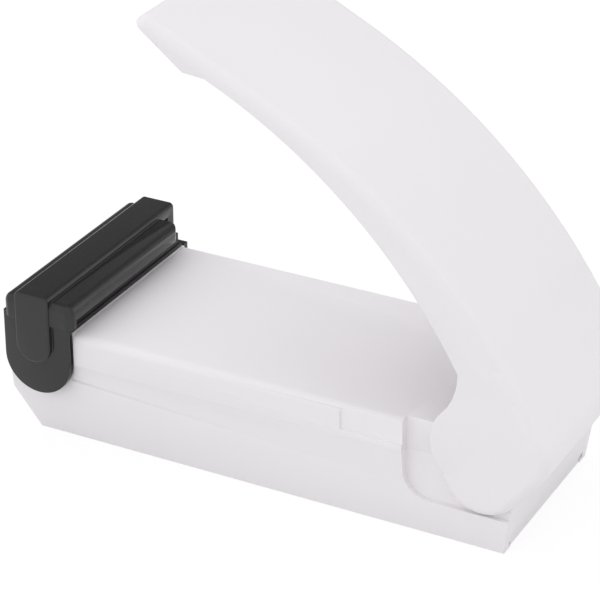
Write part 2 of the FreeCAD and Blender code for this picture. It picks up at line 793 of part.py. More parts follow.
def wire_section(centre, along, radius):
    """Face of a wire drawn with flat sides, square to the direction along."""
    turned = Rotation(Vector(0, 0, 1), along)
    spots = [turned.multVec(Vector(math.cos(turn), math.sin(turn), 0)) * radius + centre
             for turn in (2 * math.pi * corner / wire_sides for corner in range(wire_sides + 1))]
    return Part.Face(Part.makePolygon(spots))


def half_turns(start, out, along, radii, pitch, wire):
    """Chain of half turns about the line from start along `along`, first at the side `out`.

    Each half turn is a half ring, tilted by half a pitch, so it runs straight into the next.
    """
    rings = []
    for index, (radius, next_radius) in enumerate(zip(radii, radii[1:])):
        side = out if index % 2 == 0 else -out
        first = start + along * (pitch * index / 2) + side * radius
        last = start + along * (pitch * (index + 1) / 2) - side * next_radius
        ahead = along.cross(side)
        section = wire_section(first, ahead, wire)
        axis = (last - first).cross(ahead)
        rings.append(section.revolve((first + last) / 2, axis * -1, 180))
    return rings


def contact_springs():
    """Two conical springs, one under the flat end of each cell."""
    wire = number("cell_spring_wire")
    high = number("cell_high")
    plate_front = number("bay_front + seat_gap + contact_thick")
    plate_rear = number("bay_rear - seat_gap - contact_thick")
    room = number("bay_long - cell_long - contact_thick * 3 - contact_bump - seat_gap * 4") - 2 * wire
    turns = int(2 * cell_spring_turns)
    radii = [number("cell_spring_radius") * (1 - cell_spring_taper * index / turns)
             for index in range(turns + 1)]
    solids = []
    for plate, side, way in ((plate_front, -1, 1), (plate_rear, 1, -1)):
        start = Vector(plate + way * wire, side * number("cell_pitch / 2"), high)
        rings = half_turns(start, Vector(0, 0, 1), Vector(way, 0, 0), radii, 2 * room / turns, wire)
        solids.append(rings[0].fuse(rings[1:]).removeSplitter())
    return feature_of("contact_springs", Part.makeCompound(solids))


def battery_door():
    """Sliding door: a flat plate with a tongue on each side and a ribbed thumb grip."""
    body = new_body("battery_door")
    section = [
        ("0 - door_wide / 2", "0"), ("door_wide / 2", "0"), ("door_wide / 2", "rail_step"),
        ("door_wide / 2 + rail_reach", "rail_step"), ("door_wide / 2 + rail_reach", "door_thick"),
        ("0 - door_wide / 2 - rail_reach", "door_thick"),
        ("0 - door_wide / 2 - rail_reach", "rail_step"), ("0 - door_wide / 2", "rail_step"),
    ]
    pad(body, sketch(body, "YZ_Plane", [section], lift="door_front"),
        "half_long - tail_back - seat_gap - door_front")
    groove = rectangle("half_long - grip_back", "half_long - grip_back + grip_groove",
                       "0 - grip_wide / 2", "grip_wide / 2")
    cut = pocket(body, sketch(body, "XY_Plane", [groove]), "grip_deep", backwards=True)
    row = body.newObject("PartDesign::LinearPattern", "LinearPattern")
    row.Originals = [cut]
    row.Direction = (origin_plane(body, "YZ_Plane"), [""])
    row.Reversed = True
    bind(row, Length="grip_pitch * (grip_count - 1)", Occurrences="grip_count")
    body.Tip = row
    doc.recompute()
    return body


# ---------------------------------------------------------------- heater

def heater_frame():
    """Moulded black channel on the deck: foot flange, two walls and a pocket for each clamp."""
    body = new_body("heater_frame")
    foot = rectangle("pivot_x - frame_foot_front", "pivot_x + frame_foot_rear",
                     "case_high", "case_high + frame_foot_thick")
    wall = rectangle("pivot_x - frame_front", "pivot_x + frame_rear",
                     "case_high", "frame_top")
    pad(body, sketch(body, "XZ_Plane", [foot]), "frame_wide", middle=True)
    pad(body, sketch(body, "XZ_Plane", [wall]), "frame_wide - frame_end_step * 2", middle=True)
    trough = rectangle("pivot_x - bed_wide / 2 - seat_gap", "pivot_x + bed_wide / 2 + seat_gap",
                       "case_high + bed_floor", "frame_top + overrun")
    pocket(body, sketch(body, "XZ_Plane", [trough]), "bed_long + gap + clip_thick * 2 + clip_room",
           middle=True)
    lead_y = "bed_long / 2 + clip_start + clip_thick / 2"
    hole = sketch(body, "XY_Plane", circles=[("pivot_x", lead_y, "lead_radius + gap")],
                  lift="frame_top")
    mirror(body, pocket(body, hole, "frame_high + overrun"))
    pilot = sketch(body, "XY_Plane", circles=[("pivot_x", "bed_long / 4", "screw_radius + film_gap")],
                   lift="case_high - root")
    mirror(body, pocket(body, pilot, "bed_floor - pilot_cover + root", backwards=True))
    return body


def heater_bed():
    """Heat-proof strip that backs the ribbon, its upper long edges rounded."""
    body = new_body("heater_bed")
    strip = rectangle("pivot_x - bed_wide / 2", "pivot_x + bed_wide / 2",
                      "case_high + bed_floor", "bed_top")
    pad(body, sketch(body, "XZ_Plane", [strip]), "bed_long", middle=True)
    top = number("bed_top")
    fillet(body, "bed_round", lambda edge, at: runs_along(edge, "y") and near(at.z, top))
    return body


def heating_ribbon():
    """Flat resistance ribbon along the bed, turned down into the clamp at each end."""
    body = new_body("heating_ribbon")
    out, leg = "bed_long / 2 + running + ribbon_thick", "bed_long / 2 + running"
    low = "case_high + bed_floor + ribbon_leg_end"
    outline = [
        (f"0 - ({out})", low), (f"0 - ({leg})", low), (f"0 - ({leg})", "bed_top"), (leg, "bed_top"),
        (leg, low), (out, low), (out, "ribbon_top"), (f"0 - ({out})", "ribbon_top"),
    ]
    lift = "pivot_x - ribbon_wide / 2"
    pad(body, sketch(body, "YZ_Plane", [outline], lift=lift), "ribbon_wide")
    return body


def release_tape():
    """Thin non-stick tape over the ribbon, folded down both sides of the bed."""
    body = new_body("release_tape")
    inner = "bed_wide / 2 + film_gap"
    outer = f"{inner} + tape_thick"
    low = "bed_top - tape_drop"
    outline = [
        (f"pivot_x - ({outer})", low), (f"pivot_x - ({inner})", low),
        (f"pivot_x - ({inner})", "ribbon_top"), (f"pivot_x + {inner}", "ribbon_top"),
        (f"pivot_x + {inner}", low), (f"pivot_x + {outer}", low),
        (f"pivot_x + {outer}", "ribbon_top + tape_thick"),
        (f"pivot_x - ({outer})", "ribbon_top + tape_thick"),
    ]
    pad(body, sketch(body, "XZ_Plane", [outline]), "bed_long - tape_short * 2", middle=True)
    return body


def ribbon_clips():
    """Pair of small brass clamps that grip the ribbon's ends and take the leads."""
    solids = []
    thick, wide = number("clip_thick"), number("clip_wide")
    start = number("bed_long / 2 + clip_start")
    low = number("case_high + bed_floor")
    for side in (-1, 1):
        y = start if side > 0 else -start - thick
        block = Part.makeBox(wide, thick, number("clip_high"),
                             Vector(number("pivot_x") - wide / 2, y, low))
        edges = [edge for edge in block.Edges
                 if runs_along(edge, "y") and edge.Vertexes[0].Z > low + clip_round]
        solids.append(block.makeFillet(clip_round, edges))
    return feature_of("ribbon_clips", Part.makeCompound(solids))


# ---------------------------------------------------------------- wire and screws

def bent_wire(points, radius, bend):
    """Tube along straight runs joined by arcs that touch both runs."""
    edges, start = [], points[0]
    for index in range(1, len(points) - 1):
        before = (points[index - 1] - points[index]).normalize()
        after = (points[index + 1] - points[index]).normalize()
        half = before.getAngle(after) / 2
        back = bend / math.tan(half)
        first, last = points[index] + before * back, points[index] + after * back
        inward = (before + after).normalize()
        middle = points[index] + inward * (bend / math.sin(half) - bend)
        edges.append(Part.LineSegment(start, first).toShape())
        edges.append(Part.Arc(first, middle, last).toShape())
        start = last
    edges.append(Part.LineSegment(start, points[-1]).toShape())
    along = (points[1] - points[0]).normalize()
    section = wire_section(points[0], along, radius).OuterWire
    return Part.Wire(edges).makePipeShell([section], True, True)


def lead_wires():
    """Three leads: clamp to switch stud, clamp to one cell contact, other contact to the leaf."""
    radius, bend = number("lead_radius"), number("lead_bend")
    x = number("pivot_x")
    y = number("tray_half - case_wall - lead_radius - running")
    top = number("case_high + bed_floor - running")
    run = number("split_high + lead_radius + lead_rise")
    turn_x = number("bay_rear - lead_turn_in")
    stud = Vector(number("leaf_tip - lead_stud_in"), number("switch_side + stud_plate_wide / 2") + radius,
                  run)
    tab_x, tab_y = number("bay_rear - seat_gap - contact_thick / 2"), number("cell_pitch / 2")
    beside = number("contact_tab_wide / 2") + radius / 2
    leaf_edge = number("switch_side - leaf_wide / 2 - lead_radius")
    from_tab = Vector(tab_x, tab_y - beside - radius, run)
    bow = Vector(tab_x - lead_bow_in, leaf_edge - gap, run + lead_bow_rise)
    on_leaf = Vector(number("leaf_root + lead_leaf_in"), leaf_edge, number("leaf_high"))
    routes = [
        [Vector(x, y, top), Vector(x, y, run), Vector(turn_x, y, run), stud],
        [Vector(x, -y, top), Vector(x, -y, run), Vector(turn_x, -y, run),
         Vector(tab_x, -tab_y - beside, run)],
        [from_tab, bow, on_leaf],
    ]
    solids = [bent_wire(route, radius, turn)
              for route, turn in zip(routes, (bend, bend, lead_bend_small))]
    return feature_of("lead_wires", Part.makeCompound(solids))


def screw(tip, length):
    """Self-tapping screw with a cone-edged head and a cross slot; tip is the end of its shank."""
    radius, head = number("screw_radius"), number("screw_head_radius")
    high, ease = number("screw_head_high"), number("screw_head_ease")
    slot_wide, slot_deep = number("screw_slot_wide"), number("screw_slot_deep")
    up = Vector(0, 0, 1)
    under = tip - up * length
    shank = Part.makeCylinder(radius, length, under)
    crown = Part.makeCylinder(head, high - ease, under - up * (high - ease))
    edge = Part.makeCone(head - ease, head, ease, under - up * high)
    slots = [Part.makeBox(long, wide, slot_deep, under - Vector(long / 2, wide / 2, high))
             for long, wide in ((screw_slot_long, slot_wide), (slot_wide, screw_slot_long))]
    return shank.fuse([crown, edge]).cut(Part.makeCompound(slots)).removeSplitter()


def case_screws():
    """Four screws that pull the lid down on the tray."""
    solids = []
    reach = number("split_high + case_screw_bite")
    rows = ((number("screw_back_front"), number("screw_pitch_front / 2"), number("gap")),
            (number("screw_back_rear"), number("screw_pitch_rear / 2"),
             number("door_thick + gap + gap")))
    for x, y, base in rows:
        for side in (-1, 1):
            head = base + number("screw_head_high")
            solids.append(screw(Vector(x, side * y, reach), reach - head))
    return feature_of("case_screws", Part.makeCompound(solids))


def frame_screws():
    """Two short screws up through the deck into the heater frame."""
    deck_low = number("case_high - deck")
    solids = []
    for side in (-1, 1):
        tip = Vector(number("pivot_x"), side * number("bed_long / 4"),
                     number("case_high + bed_floor - pilot_cover - seat_gap"))
        solids.append(screw(tip, tip.z - deck_low))
    return feature_of("frame_screws", Part.makeCompound(solids))


# ---------------------------------------------------------------- hinge and switch

def hinge_pin():
    """Plain steel pin across the knuckle, its ends in the arm's cheeks."""
    body = new_body("hinge_pin")
    rod = sketch(body, "XZ_Plane", circles=[("hinge_back", "hinge_high", "pin_radius")])
    pad(body, rod, "(half_wide - pin_end_wall - gap) * 2", middle=True)
    doc.recompute()
    return body


def torsion_spring():
    """Wound spring round the pin: one leg along the tray, one up under the arm's roof."""
    radius, wire = number("coil_radius"), number("coil_wire")
    pitch = number("coil_pitch")
    wound = number("coil_turns") * pitch
    start = Vector(number("hinge_back"), wound / 2, number("hinge_high"))
    rear, down, aside = Vector(1, 0, 0), Vector(0, 0, -1), Vector(0, -1, 0)
    turns = int(2 * coil_turns)
    rings = half_turns(start, rear, aside, [radius] * (turns + 1), pitch, wire)
    low = wire_section(start + down * radius, rear, wire)
    rings.append(low.revolve(start, aside, 90))
    rings.append(low.extrude(rear * -number("tray_leg")))
    high = wire_section(start + aside * (pitch * turns / 2) + rear * radius, down, wire)
    rings.append(high.extrude(down * -number("arm_leg")))
    return feature_of("torsion_spring", rings[0].fuse(rings[1:]).removeSplitter())


def switch_leaf():
    """Springy contact strip hung under the lid; the arm's striker bends it down."""
    body = new_body("switch_leaf")
    strip = rectangle("leaf_root", "leaf_tip", "leaf_high", "leaf_high + leaf_thick")
    pad(body, sketch(body, "XZ_Plane", [strip], lift="leaf_wide / 2 - switch_side"),
        "leaf_wide", backwards=True)
    hole = sketch(body, "XY_Plane", lift="leaf_high + overrun",
                  circles=[("leaf_root + leaf_rivet_back", "switch_side", "leaf_rivet_radius + running")])
    pocket(body, hole, "overrun * 2")
    return body


def switch_contact():
    """Fixed contact on the tray under the leaf's tip: a plate with a round stud."""
    body = new_body("switch_contact")
    plate = rectangle("leaf_tip + stud_plate_beyond - stud_plate_long", "leaf_tip + stud_plate_beyond",
                      "split_high", "split_high + leaf_thick")
    pad(body, sketch(body, "XZ_Plane", [plate], lift="stud_plate_wide / 2 - switch_side"),
        "stud_plate_wide", backwards=True)
    stud = sketch(body, "XY_Plane", circles=[("leaf_tip - stud_back", "switch_side", "stud_radius")],
                  lift="split_high + leaf_thick / 2")
    pad(body, stud, "stud_high - split_high - leaf_thick / 2")
    return body


# ---------------------------------------------------------------- flip-over cover

def safety_cover():
    """Black cap over the hot bar with a raised band, hung on two round ears."""
    body = new_body("safety_cover")
    front, rear = "pivot_x - cap_front", "pivot_x + cap_rear"
    upper = [
        (rear, "cap_high - cap_edge", "cap_edge", 1), (f"{rear} - cap_edge", "cap_high"),
        (f"{front} + cap_edge", "cap_high", "cap_edge", 1), (front, "cap_high - cap_edge"),
    ]
    hood = [
        (front, "cap_front_edge"), (f"{front} + cap_wall", "cap_front_edge"),
        (f"{front} + cap_wall", "cap_high - cap_roof"), (f"{rear} - cap_wall", "cap_high - cap_roof"),
        (f"{rear} - cap_wall", "cap_rear_edge"), (rear, "cap_rear_edge"), *upper,
    ]
    pad(body, sketch(body, "XZ_Plane", [hood]), "cap_wide", middle=True)

    end = [(front, "cap_front_edge"), (rear, "cap_front_edge"), *upper]
    cap_end = pad(body, sketch(body, "XZ_Plane", [end], lift="ear_inside"),
                  "cap_wide / 2 - ear_inside")
    ear = [
        ("pivot_x - ear_radius", "pivot_high", "ear_radius", 1),
        ("pivot_x", "pivot_high - ear_radius", "ear_radius", 1),
        ("pivot_x + ear_radius", "pivot_high"), ("pivot_x + ear_radius", "cap_front_edge + ear_lap"),
        ("pivot_x - ear_radius", "cap_front_edge + ear_lap"),
    ]
    ear_pad = pad(body, sketch(body, "XZ_Plane", [ear], lift="ear_inside"), "ear_wall")
    mirror(body, cap_end, ear_pad)
    side, top = number("cap_wide / 2"), number("cap_high")
    fillet(body, "cap_round", lambda edge, at: runs_along(edge, "x") and near(abs(at.y), side)
           and near(at.z, top))

    half = "band_wide / 2"
    middle = f"pivot_x - band_front + {half}"
    stripe = [
        (f"{middle} - {half}", "band_end", half, 1), (middle, f"band_end - {half}", half, 1),
        (f"{middle} + {half}", "band_end"), (f"{middle} + {half}", "cap_high - band_side_proud"),
        (f"{middle} - {half}", "cap_high - band_side_proud"),
    ]
    mirror(body, pad(body, sketch(body, "XZ_Plane", [stripe], lift="ear_inside + ear_wall / 2"),
                     "cap_wide / 2 + band_side_proud - ear_inside - ear_wall / 2"))
    band = [
        (f"{middle} - {half}", "cap_high - cap_roof / 2"),
        (f"{middle} + {half}", "cap_high - cap_roof / 2"),
        (f"{middle} + {half}", "cap_high + band_proud - band_edge", "band_edge", 1),
        (f"{middle} + {half} - band_edge", "cap_high + band_proud"),
        (f"{middle} - {half} + band_edge", "cap_high + band_proud", "band_edge", 1),
        (f"{middle} - {half}", "cap_high + band_proud - band_edge"),
    ]
    pad(body, sketch(body, "XZ_Plane", [band]), "cap_wide + band_side_proud * 2", middle=True)
    band_side, band_top = number("cap_wide / 2 + band_side_proud"), number("cap_high + band_proud")
    fillet(body, "band_round", lambda edge, at: runs_along(edge, "x") and near(abs(at.y), band_side)
           and near(at.z, band_top))

    # thumb notch behind the band, in the corner away from the user's hand on the case
    inner = "cap_wide / 2 - notch_long"
    notch = [
        (f"{middle} + {half}", inner), (f"{rear} - notch_round", inner, "notch_round", -1),
        (rear, f"{inner} - notch_round"), (f"{rear} + overrun", f"{inner} - notch_round"),
        (f"{rear} + overrun", "cap_wide / 2 + overrun"), (f"{middle} + {half}", "cap_wide / 2 + overrun"),
    ]
    pocket(body, sketch(body, "XY_Plane", [notch], lift="cap_high + overrun"),
           "cap_high + overrun - case_high - gap")

    dimple = sketch(body, "XZ_Plane", circles=[("pivot_x", "pivot_high", "pivot_radius + running")],
                    lift="ear_inside - seat_gap")
    mirror(body, pocket(body, dimple, "pivot_long + seat_gap", backwards=True))
    return body


# ---------------------------------------------------------------- arm

def arm_shell():
    """Arched press arm: thin roof, side skirts, nose and round cheeks about the hinge."""
    body = new_body("arm_shell")
    rise = on_arc("arch_mid", "arch_low", "arch_radius", "straight_from")
    slope = ("(arch_mid - straight_from) / sqrt(arch_radius * arch_radius"
             " - (arch_mid - straight_from) * (arch_mid - straight_from))")
    steep = f"sqrt(1 + ({slope}) * ({slope}))"
    reach = f"nose_blend * ({steep} - ({slope}))"
    nose_top = f"({rise} - ({slope}) * (arm_nose + straight_from))"
    heel_low, heel_high = heel_ends("barrel_rear", "heel_radius", "arch_radius")
    outline = [
        ("0 - arm_nose", "jaw_high"),
        ("0 - jaw_rear", "jaw_high"),
        ("jaw_slope - jaw_rear", on_arc("skirt_mid", "skirt_low", "skirt_radius",
                                        "(jaw_slope - jaw_rear)"), "skirt_radius", -1),
        ("skirt_rear", on_arc("skirt_mid", "skirt_low", "skirt_radius", "skirt_rear"),
         "cheek_sweep", -1),
        ("cheek_front", "cheek_front_high", "cheek_corner", 1),
        ("hinge_back - barrel_radius * cheek_foot_back", "hinge_high - barrel_radius * cheek_foot_low",
         "barrel_radius", 1),
        ("hinge_back", "hinge_high - barrel_radius", "barrel_radius", 1),
        ("barrel_rear", "hinge_high"),
        (*heel_low, "heel_radius", 1),
        (*heel_high, "arch_radius", 1),
        ("straight_from", rise),
        (f"{reach} / {steep} - arm_nose", f"{nose_top} + {reach} * ({slope}) / {steep}",
         "nose_blend", 1),
        ("0 - arm_nose", f"{nose_top} - {reach}"),
    ]
    pad(body, sketch(body, "XZ_Plane", [outline]), "case_wide", middle=True)
    side, roof = number("half_wide"), number("roof_radius")
    low, middle = number("arch_low"), number("arch_mid")
    fillet(body, "arm_round", lambda edge, at: near(abs(at.y), side) and at.z > 0
           and math.hypot(at.x - middle, at.z - low) > roof)

    inner_rise = on_arc("arch_mid", "arch_low", "roof_radius", "straight_from")
    inner_low, inner_high = heel_ends("(barrel_rear - barrel_wall)", "(heel_radius - barrel_wall)",
                                      "roof_radius")
    front = "arm_tip_wall - arm_nose"
    below = "hinge_high - barrel_radius - overrun"
    inner_tip = f"{inner_rise} - ({slope}) * (straight_from - ({front}))"
    hollow = [
        (front, below), ("barrel_rear + overrun", below),
        ("barrel_rear + overrun", "hinge_high - heel_open"),
        ("barrel_rear - barrel_wall", "hinge_high - heel_open"),
        (*inner_low, "heel_radius - barrel_wall", 1),
        (*inner_high, "roof_radius", 1),
        ("straight_from", inner_rise), (front, inner_tip),
    ]
    pocket(body, sketch(body, "XZ_Plane", [hollow]), "cheek_inside * 2", middle=True)

    for side, backwards in ((1, True), (-1, False)):
        hole = sketch(body, "XZ_Plane", circles=[("hinge_back", "hinge_high", "pin_radius + running")],
                      lift=f"({side}) * (cheek_inside - root)")
        pocket(body, hole, "cheek_wall - pin_end_wall + root", backwards=backwards)

    striker = [
        ("striker_front", "striker_low"), ("striker_front + striker_thick", "striker_low"),
        ("striker_front + striker_thick", on_arc("arch_mid", "arch_low", "roof_radius",
                                                 "(striker_front + striker_thick)") + " + root"),
        ("striker_front", on_arc("arch_mid", "arch_low", "roof_radius", "striker_front") + " + root"),
    ]
    pad(body, sketch(body, "XZ_Plane", [striker], lift="striker_wide / 2 - switch_side"),
        "striker_wide", backwards=True)

    seat = on_arc("skirt_mid", "skirt_low", "skirt_radius", "liner_screw_back")
    for side in (-1, 1):
        spot = ("liner_screw_back", f"({side}) * liner_screw_pitch / 2")
        roof = on_arc("arch_mid", "arch_low", "roof_radius", "liner_screw_back")
        boss = sketch(body, "XY_Plane", circles=[(*spot, "arm_boss_radius")],
                      lift=f"{seat} + liner_seat")
        pad(body, boss, f"{roof} + arm_boss_sink - ({seat} + liner_seat)")
        pilot = sketch(body, "XY_Plane", circles=[(*spot, "screw_radius + film_gap")],
                       lift=f"{seat} + liner_seat - root")
        pocket(body, pilot, "liner_screw_bite + root", backwards=True)
    doc.recompute()
    open_arm(body)
    return body


def arm_liner():
    """Curved inner plate that closes the arm from below, with two screw seats."""
    body = new_body("arm_liner")
    low, high = "skirt_radius + seat_gap", "skirt_radius + seat_gap + liner_thick"
    outline = [
        ("liner_front", on_arc("skirt_mid", "skirt_low", f"({low})", "liner_front")),
        ("liner_front", on_arc("skirt_mid", "skirt_low", f"({high})", "liner_front"), high, -1),
        ("liner_rear", on_arc("skirt_mid", "skirt_low", f"({high})", "liner_rear")),
        ("liner_rear", on_arc("skirt_mid", "skirt_low", f"({low})", "liner_rear"), low, 1),
    ]
    pad(body, sketch(body, "XZ_Plane", [outline]), "(cheek_inside - gap) * 2", middle=True)
    seat = on_arc("skirt_mid", "skirt_low", "skirt_radius", "liner_screw_back")
    for side in (-1, 1):
        spot = ("liner_screw_back", f"({side}) * liner_screw_pitch / 2")
        boss = sketch(body, "XY_Plane", circles=[(*spot, "liner_boss_radius")],
                      lift=f"{seat} - liner_boss_proud")
        pad(body, boss, "liner_boss_proud + liner_seat - seat_gap")
        below = f"{seat} - liner_boss_proud - overrun"
        shank = sketch(body, "XY_Plane", circles=[(*spot, "screw_radius + gap")], lift=below)
        pocket(body, shank, "liner_boss_proud + liner_seat + overrun * 2", backwards=True)
        head = sketch(body, "XY_Plane", circles=[(*spot, "screw_head_radius + seat_gap")], lift=below)
        pocket(body, head, "liner_boss_proud + overrun + liner_head_in", backwards=True)
    doc.recompute()
    open_arm(body)
    return body


def liner_screws():
    """Two screws up through the liner into the arm's bosses."""
    seat = number(on_arc("skirt_mid", "skirt_low", "skirt_radius", "liner_screw_back"))
    head_top = seat + number("liner_head_in")
    bite = number("liner_seat + liner_screw_bite - liner_tip_room")
    solids = []
    for side in (-1, 1):
        tip = Vector(number("liner_screw_back"), side * number("liner_screw_pitch / 2"), seat + bite)
        solids.append(screw(tip, tip.z - head_top))
    item = feature_of("liner_screws", Part.makeCompound(solids))
    open_arm(item)
    return item


def jaw_block():
    """White block inside the tip, with the groove that holds the silicone pad."""
    body = new_body("jaw_block")
    rise = on_arc("arch_mid", "arch_low", "roof_radius", "straight_from")
    slope = ("(arch_mid - straight_from) / sqrt(arch_radius * arch_radius"
             " - (arch_mid - straight_from) * (arch_mid - straight_from))")
    front, rear = "arm_tip_wall + seat_gap - arm_nose", "0 - jaw_block_rear"
    pad_low, pad_high = "pivot_x - pad_wide / 2", "pivot_x + pad_wide / 2"
    groove = "jaw_high + pad_thick - pad_proud + film_gap"
    outline = [
        (front, "jaw_high"),
        (f"{pad_low} - film_gap", "jaw_high"), (f"{pad_low} - film_gap", groove),
        (f"{pad_high} + film_gap", groove), (f"{pad_high} + film_gap", "jaw_high"),
        (rear, "jaw_high"),
        (rear, f"{rise} - ({slope}) * (straight_from - ({rear})) - seat_gap"),
        (front, f"{rise} - ({slope}) * (straight_from - ({front})) - seat_gap"),
    ]
    pad(body, sketch(body, "XZ_Plane", [outline]), "(cheek_inside - seat_gap) * 2", middle=True)
    doc.recompute()
    open_arm(body)
    return body


def silicone_strip():
    """Heat-proof silicone pad that presses the bag on the hot ribbon."""
    body = new_body("silicone_strip")
    outline = rectangle("pivot_x - pad_wide / 2", "pivot_x + pad_wide / 2",
                        "jaw_high - pad_proud", "jaw_high - pad_proud + pad_thick")
    pad(body, sketch(body, "XZ_Plane", [outline]), "(cheek_inside - gap) * 2", middle=True)
    doc.recompute()
    open_arm(body)
    return body


# ---------------------------------------------------------------- put together

lower_case()
upper_case()
cell("aa_cell_left", 1, 1)
cell("aa_cell_right", -1, -1)
contact("bridge_contact", True, "both")
contact("negative_contact", False, "left")
contact("positive_contact", False, "right")
contact_springs()
battery_door()
heater_frame()
heater_bed()
heating_ribbon()
release_tape()
ribbon_clips()
lead_wires()
case_screws()
frame_screws()
hinge_pin()
torsion_spring()
switch_leaf()
switch_contact()
safety_cover()
arm_shell()
arm_liner()
liner_screws()
jaw_block()
silicone_strip()
doc.recompute()

for item in doc.Objects:
    if "Invalid" in item.State or "Error" in item.State:
        raise RuntimeError(f"{item.Label} ({item.Name}) failed: {item.State}")
for item in sub_parts:
    if item.Shape.isNull() or not item.Shape.isValid():
        raise RuntimeError(f"{item.Label} has no valid shape")

os.makedirs("parts", exist_ok=True)
for item in sub_parts:
    item.Shape.exportStep(os.path.join("parts", item.Label + ".step"))
    print(f"{item.Label}: {len(item.Shape.Solids)} solid(s), {item.Shape.Volume:.1f} mm3")
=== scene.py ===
"""Looks of the bag neck sealer: white press arm and battery case, black cover on the hot bar."""

import math

import bmesh
import bpy
from mathutils import Matrix, Vector


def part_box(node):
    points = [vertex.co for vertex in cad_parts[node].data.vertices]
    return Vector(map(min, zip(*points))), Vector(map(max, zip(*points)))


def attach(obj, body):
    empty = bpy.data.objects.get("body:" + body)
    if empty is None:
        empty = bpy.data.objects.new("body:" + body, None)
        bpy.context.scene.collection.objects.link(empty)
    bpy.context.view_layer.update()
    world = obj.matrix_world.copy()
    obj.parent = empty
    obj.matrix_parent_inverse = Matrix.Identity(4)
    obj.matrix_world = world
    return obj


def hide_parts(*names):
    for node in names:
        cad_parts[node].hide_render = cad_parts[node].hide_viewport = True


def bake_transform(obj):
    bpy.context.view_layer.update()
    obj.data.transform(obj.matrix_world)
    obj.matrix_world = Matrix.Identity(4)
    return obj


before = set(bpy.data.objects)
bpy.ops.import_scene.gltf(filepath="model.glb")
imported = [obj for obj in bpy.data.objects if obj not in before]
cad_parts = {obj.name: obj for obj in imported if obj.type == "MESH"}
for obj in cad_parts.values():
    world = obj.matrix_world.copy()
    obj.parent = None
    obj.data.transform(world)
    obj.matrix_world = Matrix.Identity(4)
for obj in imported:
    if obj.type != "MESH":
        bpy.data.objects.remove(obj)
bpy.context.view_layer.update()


# ---------------------------------------------------------------- camera
# A long lens from the left, a little from behind and above. The arm's tip runs out of the picture
# at the top.

film_wide = 36.0
focal_length = 157.3
nearest_seen = 0.02
camera_place = (0.1939, -0.3709, 0.2495)
camera_right = Vector((0.88597, 0.46376, 0.0)).normalized()
camera_back = Vector((0.41023, -0.78371, 0.46639)).normalized()

camera_data = bpy.data.cameras.new("camera")
camera_data.sensor_width = film_wide
camera_data.lens = focal_length
camera_data.clip_start = nearest_seen
camera = bpy.data.objects.new("camera", camera_data)
bpy.context.scene.collection.objects.link(camera)
camera_up = camera_back.cross(camera_right)
camera.matrix_world = Matrix.Translation(camera_place) @ Matrix(
    (camera_right, camera_up, camera_back)).transposed().to_4x4()
bpy.context.scene.camera = camera


# ---------------------------------------------------------------- floor and light
# A glowing white sheet under the part, a white room that is brightest overhead and beyond the hot
# bar, and one broad, weak lamp behind the hinge. Reflections show an even room instead, with one
# dark wall on the far side.

white = (1, 1, 1, 1)
floor_reach = 6.0
floor_colour = (0.82, 0.82, 0.82, 1)
floor_roughness = 0.9
paper_glow = 0.8
glow_strength = 1.07
room_bright_side = (-0.60, -0.10, 0.79)
room_strength = (0.475, 1.24)
wall_side = (-0.41, 0.78, 0.47)
wall_reach = (0.35, 0.85)
wall_tone = 0.2
lamp_side = Vector((0.85, 0.4, 0.35))
lamp_strength = 0.20
lamp_spread = math.radians(60)

bpy.context.scene.view_settings.view_transform = "Standard"


def new_material(name):
    """Empty node material; returns it with its tree and its principled shader."""
    material = bpy.data.materials.new(name)
    material.use_nodes = True
    tree = material.node_tree
    return material, tree, tree.nodes["Principled BSDF"]


def feed(node, inputs):
    """Give a node its inputs; each is a value or another node's output."""
    for name, value in inputs.items():
        if isinstance(value, bpy.types.NodeSocket):
            node.id_data.links.new(value, node.inputs[name])
        else:
            node.inputs[name].default_value = value


def new_node(tree, kind, inputs, output=None, **settings):
    """Node with its inputs and settings; returns its named output, or else the first."""
    node = tree.nodes.new(kind)
    for name, value in settings.items():
        setattr(node, name, value)
    feed(node, inputs)
    return node.outputs[output or 0]


floor_mesh = bpy.data.meshes.new("floor")
floor_mesh.from_pydata([(-floor_reach, -floor_reach, 0), (floor_reach, -floor_reach, 0),
                        (floor_reach, floor_reach, 0), (-floor_reach, floor_reach, 0)],
                       [], [(0, 1, 2, 3)])
floor = bpy.data.objects.new("floor", floor_mesh)
bpy.context.scene.collection.objects.link(floor)
floor_paper, floor_tree, floor_shader = new_material("floor_paper")
feed(floor_shader, {"Base Color": floor_colour, "Roughness": floor_roughness,
                    "Specular IOR Level": 0.0})
glow = new_node(floor_tree, "ShaderNodeEmission", {"Color": white, "Strength": glow_strength})
floor_rays = floor_tree.nodes.new("ShaderNodeLightPath").outputs
seen = new_node(floor_tree, "ShaderNodeMath", {
    0: floor_rays["Is Camera Ray"], 1: floor_rays["Is Glossy Ray"]}, operation="MAXIMUM")
seen_through = new_node(floor_tree, "ShaderNodeMath", {
    0: seen, 1: floor_rays["Is Transmission Ray"]}, operation="MAXIMUM")
glow_share = new_node(floor_tree, "ShaderNodeMath", {
    0: seen_through, 1: paper_glow}, operation="MULTIPLY")
paper = new_node(floor_tree, "ShaderNodeMixShader", {
    "Fac": glow_share, 1: floor_shader.outputs["BSDF"], 2: glow})
feed(floor_tree.nodes["Material Output"], {"Surface": paper})
floor_mesh.materials.append(floor_paper)

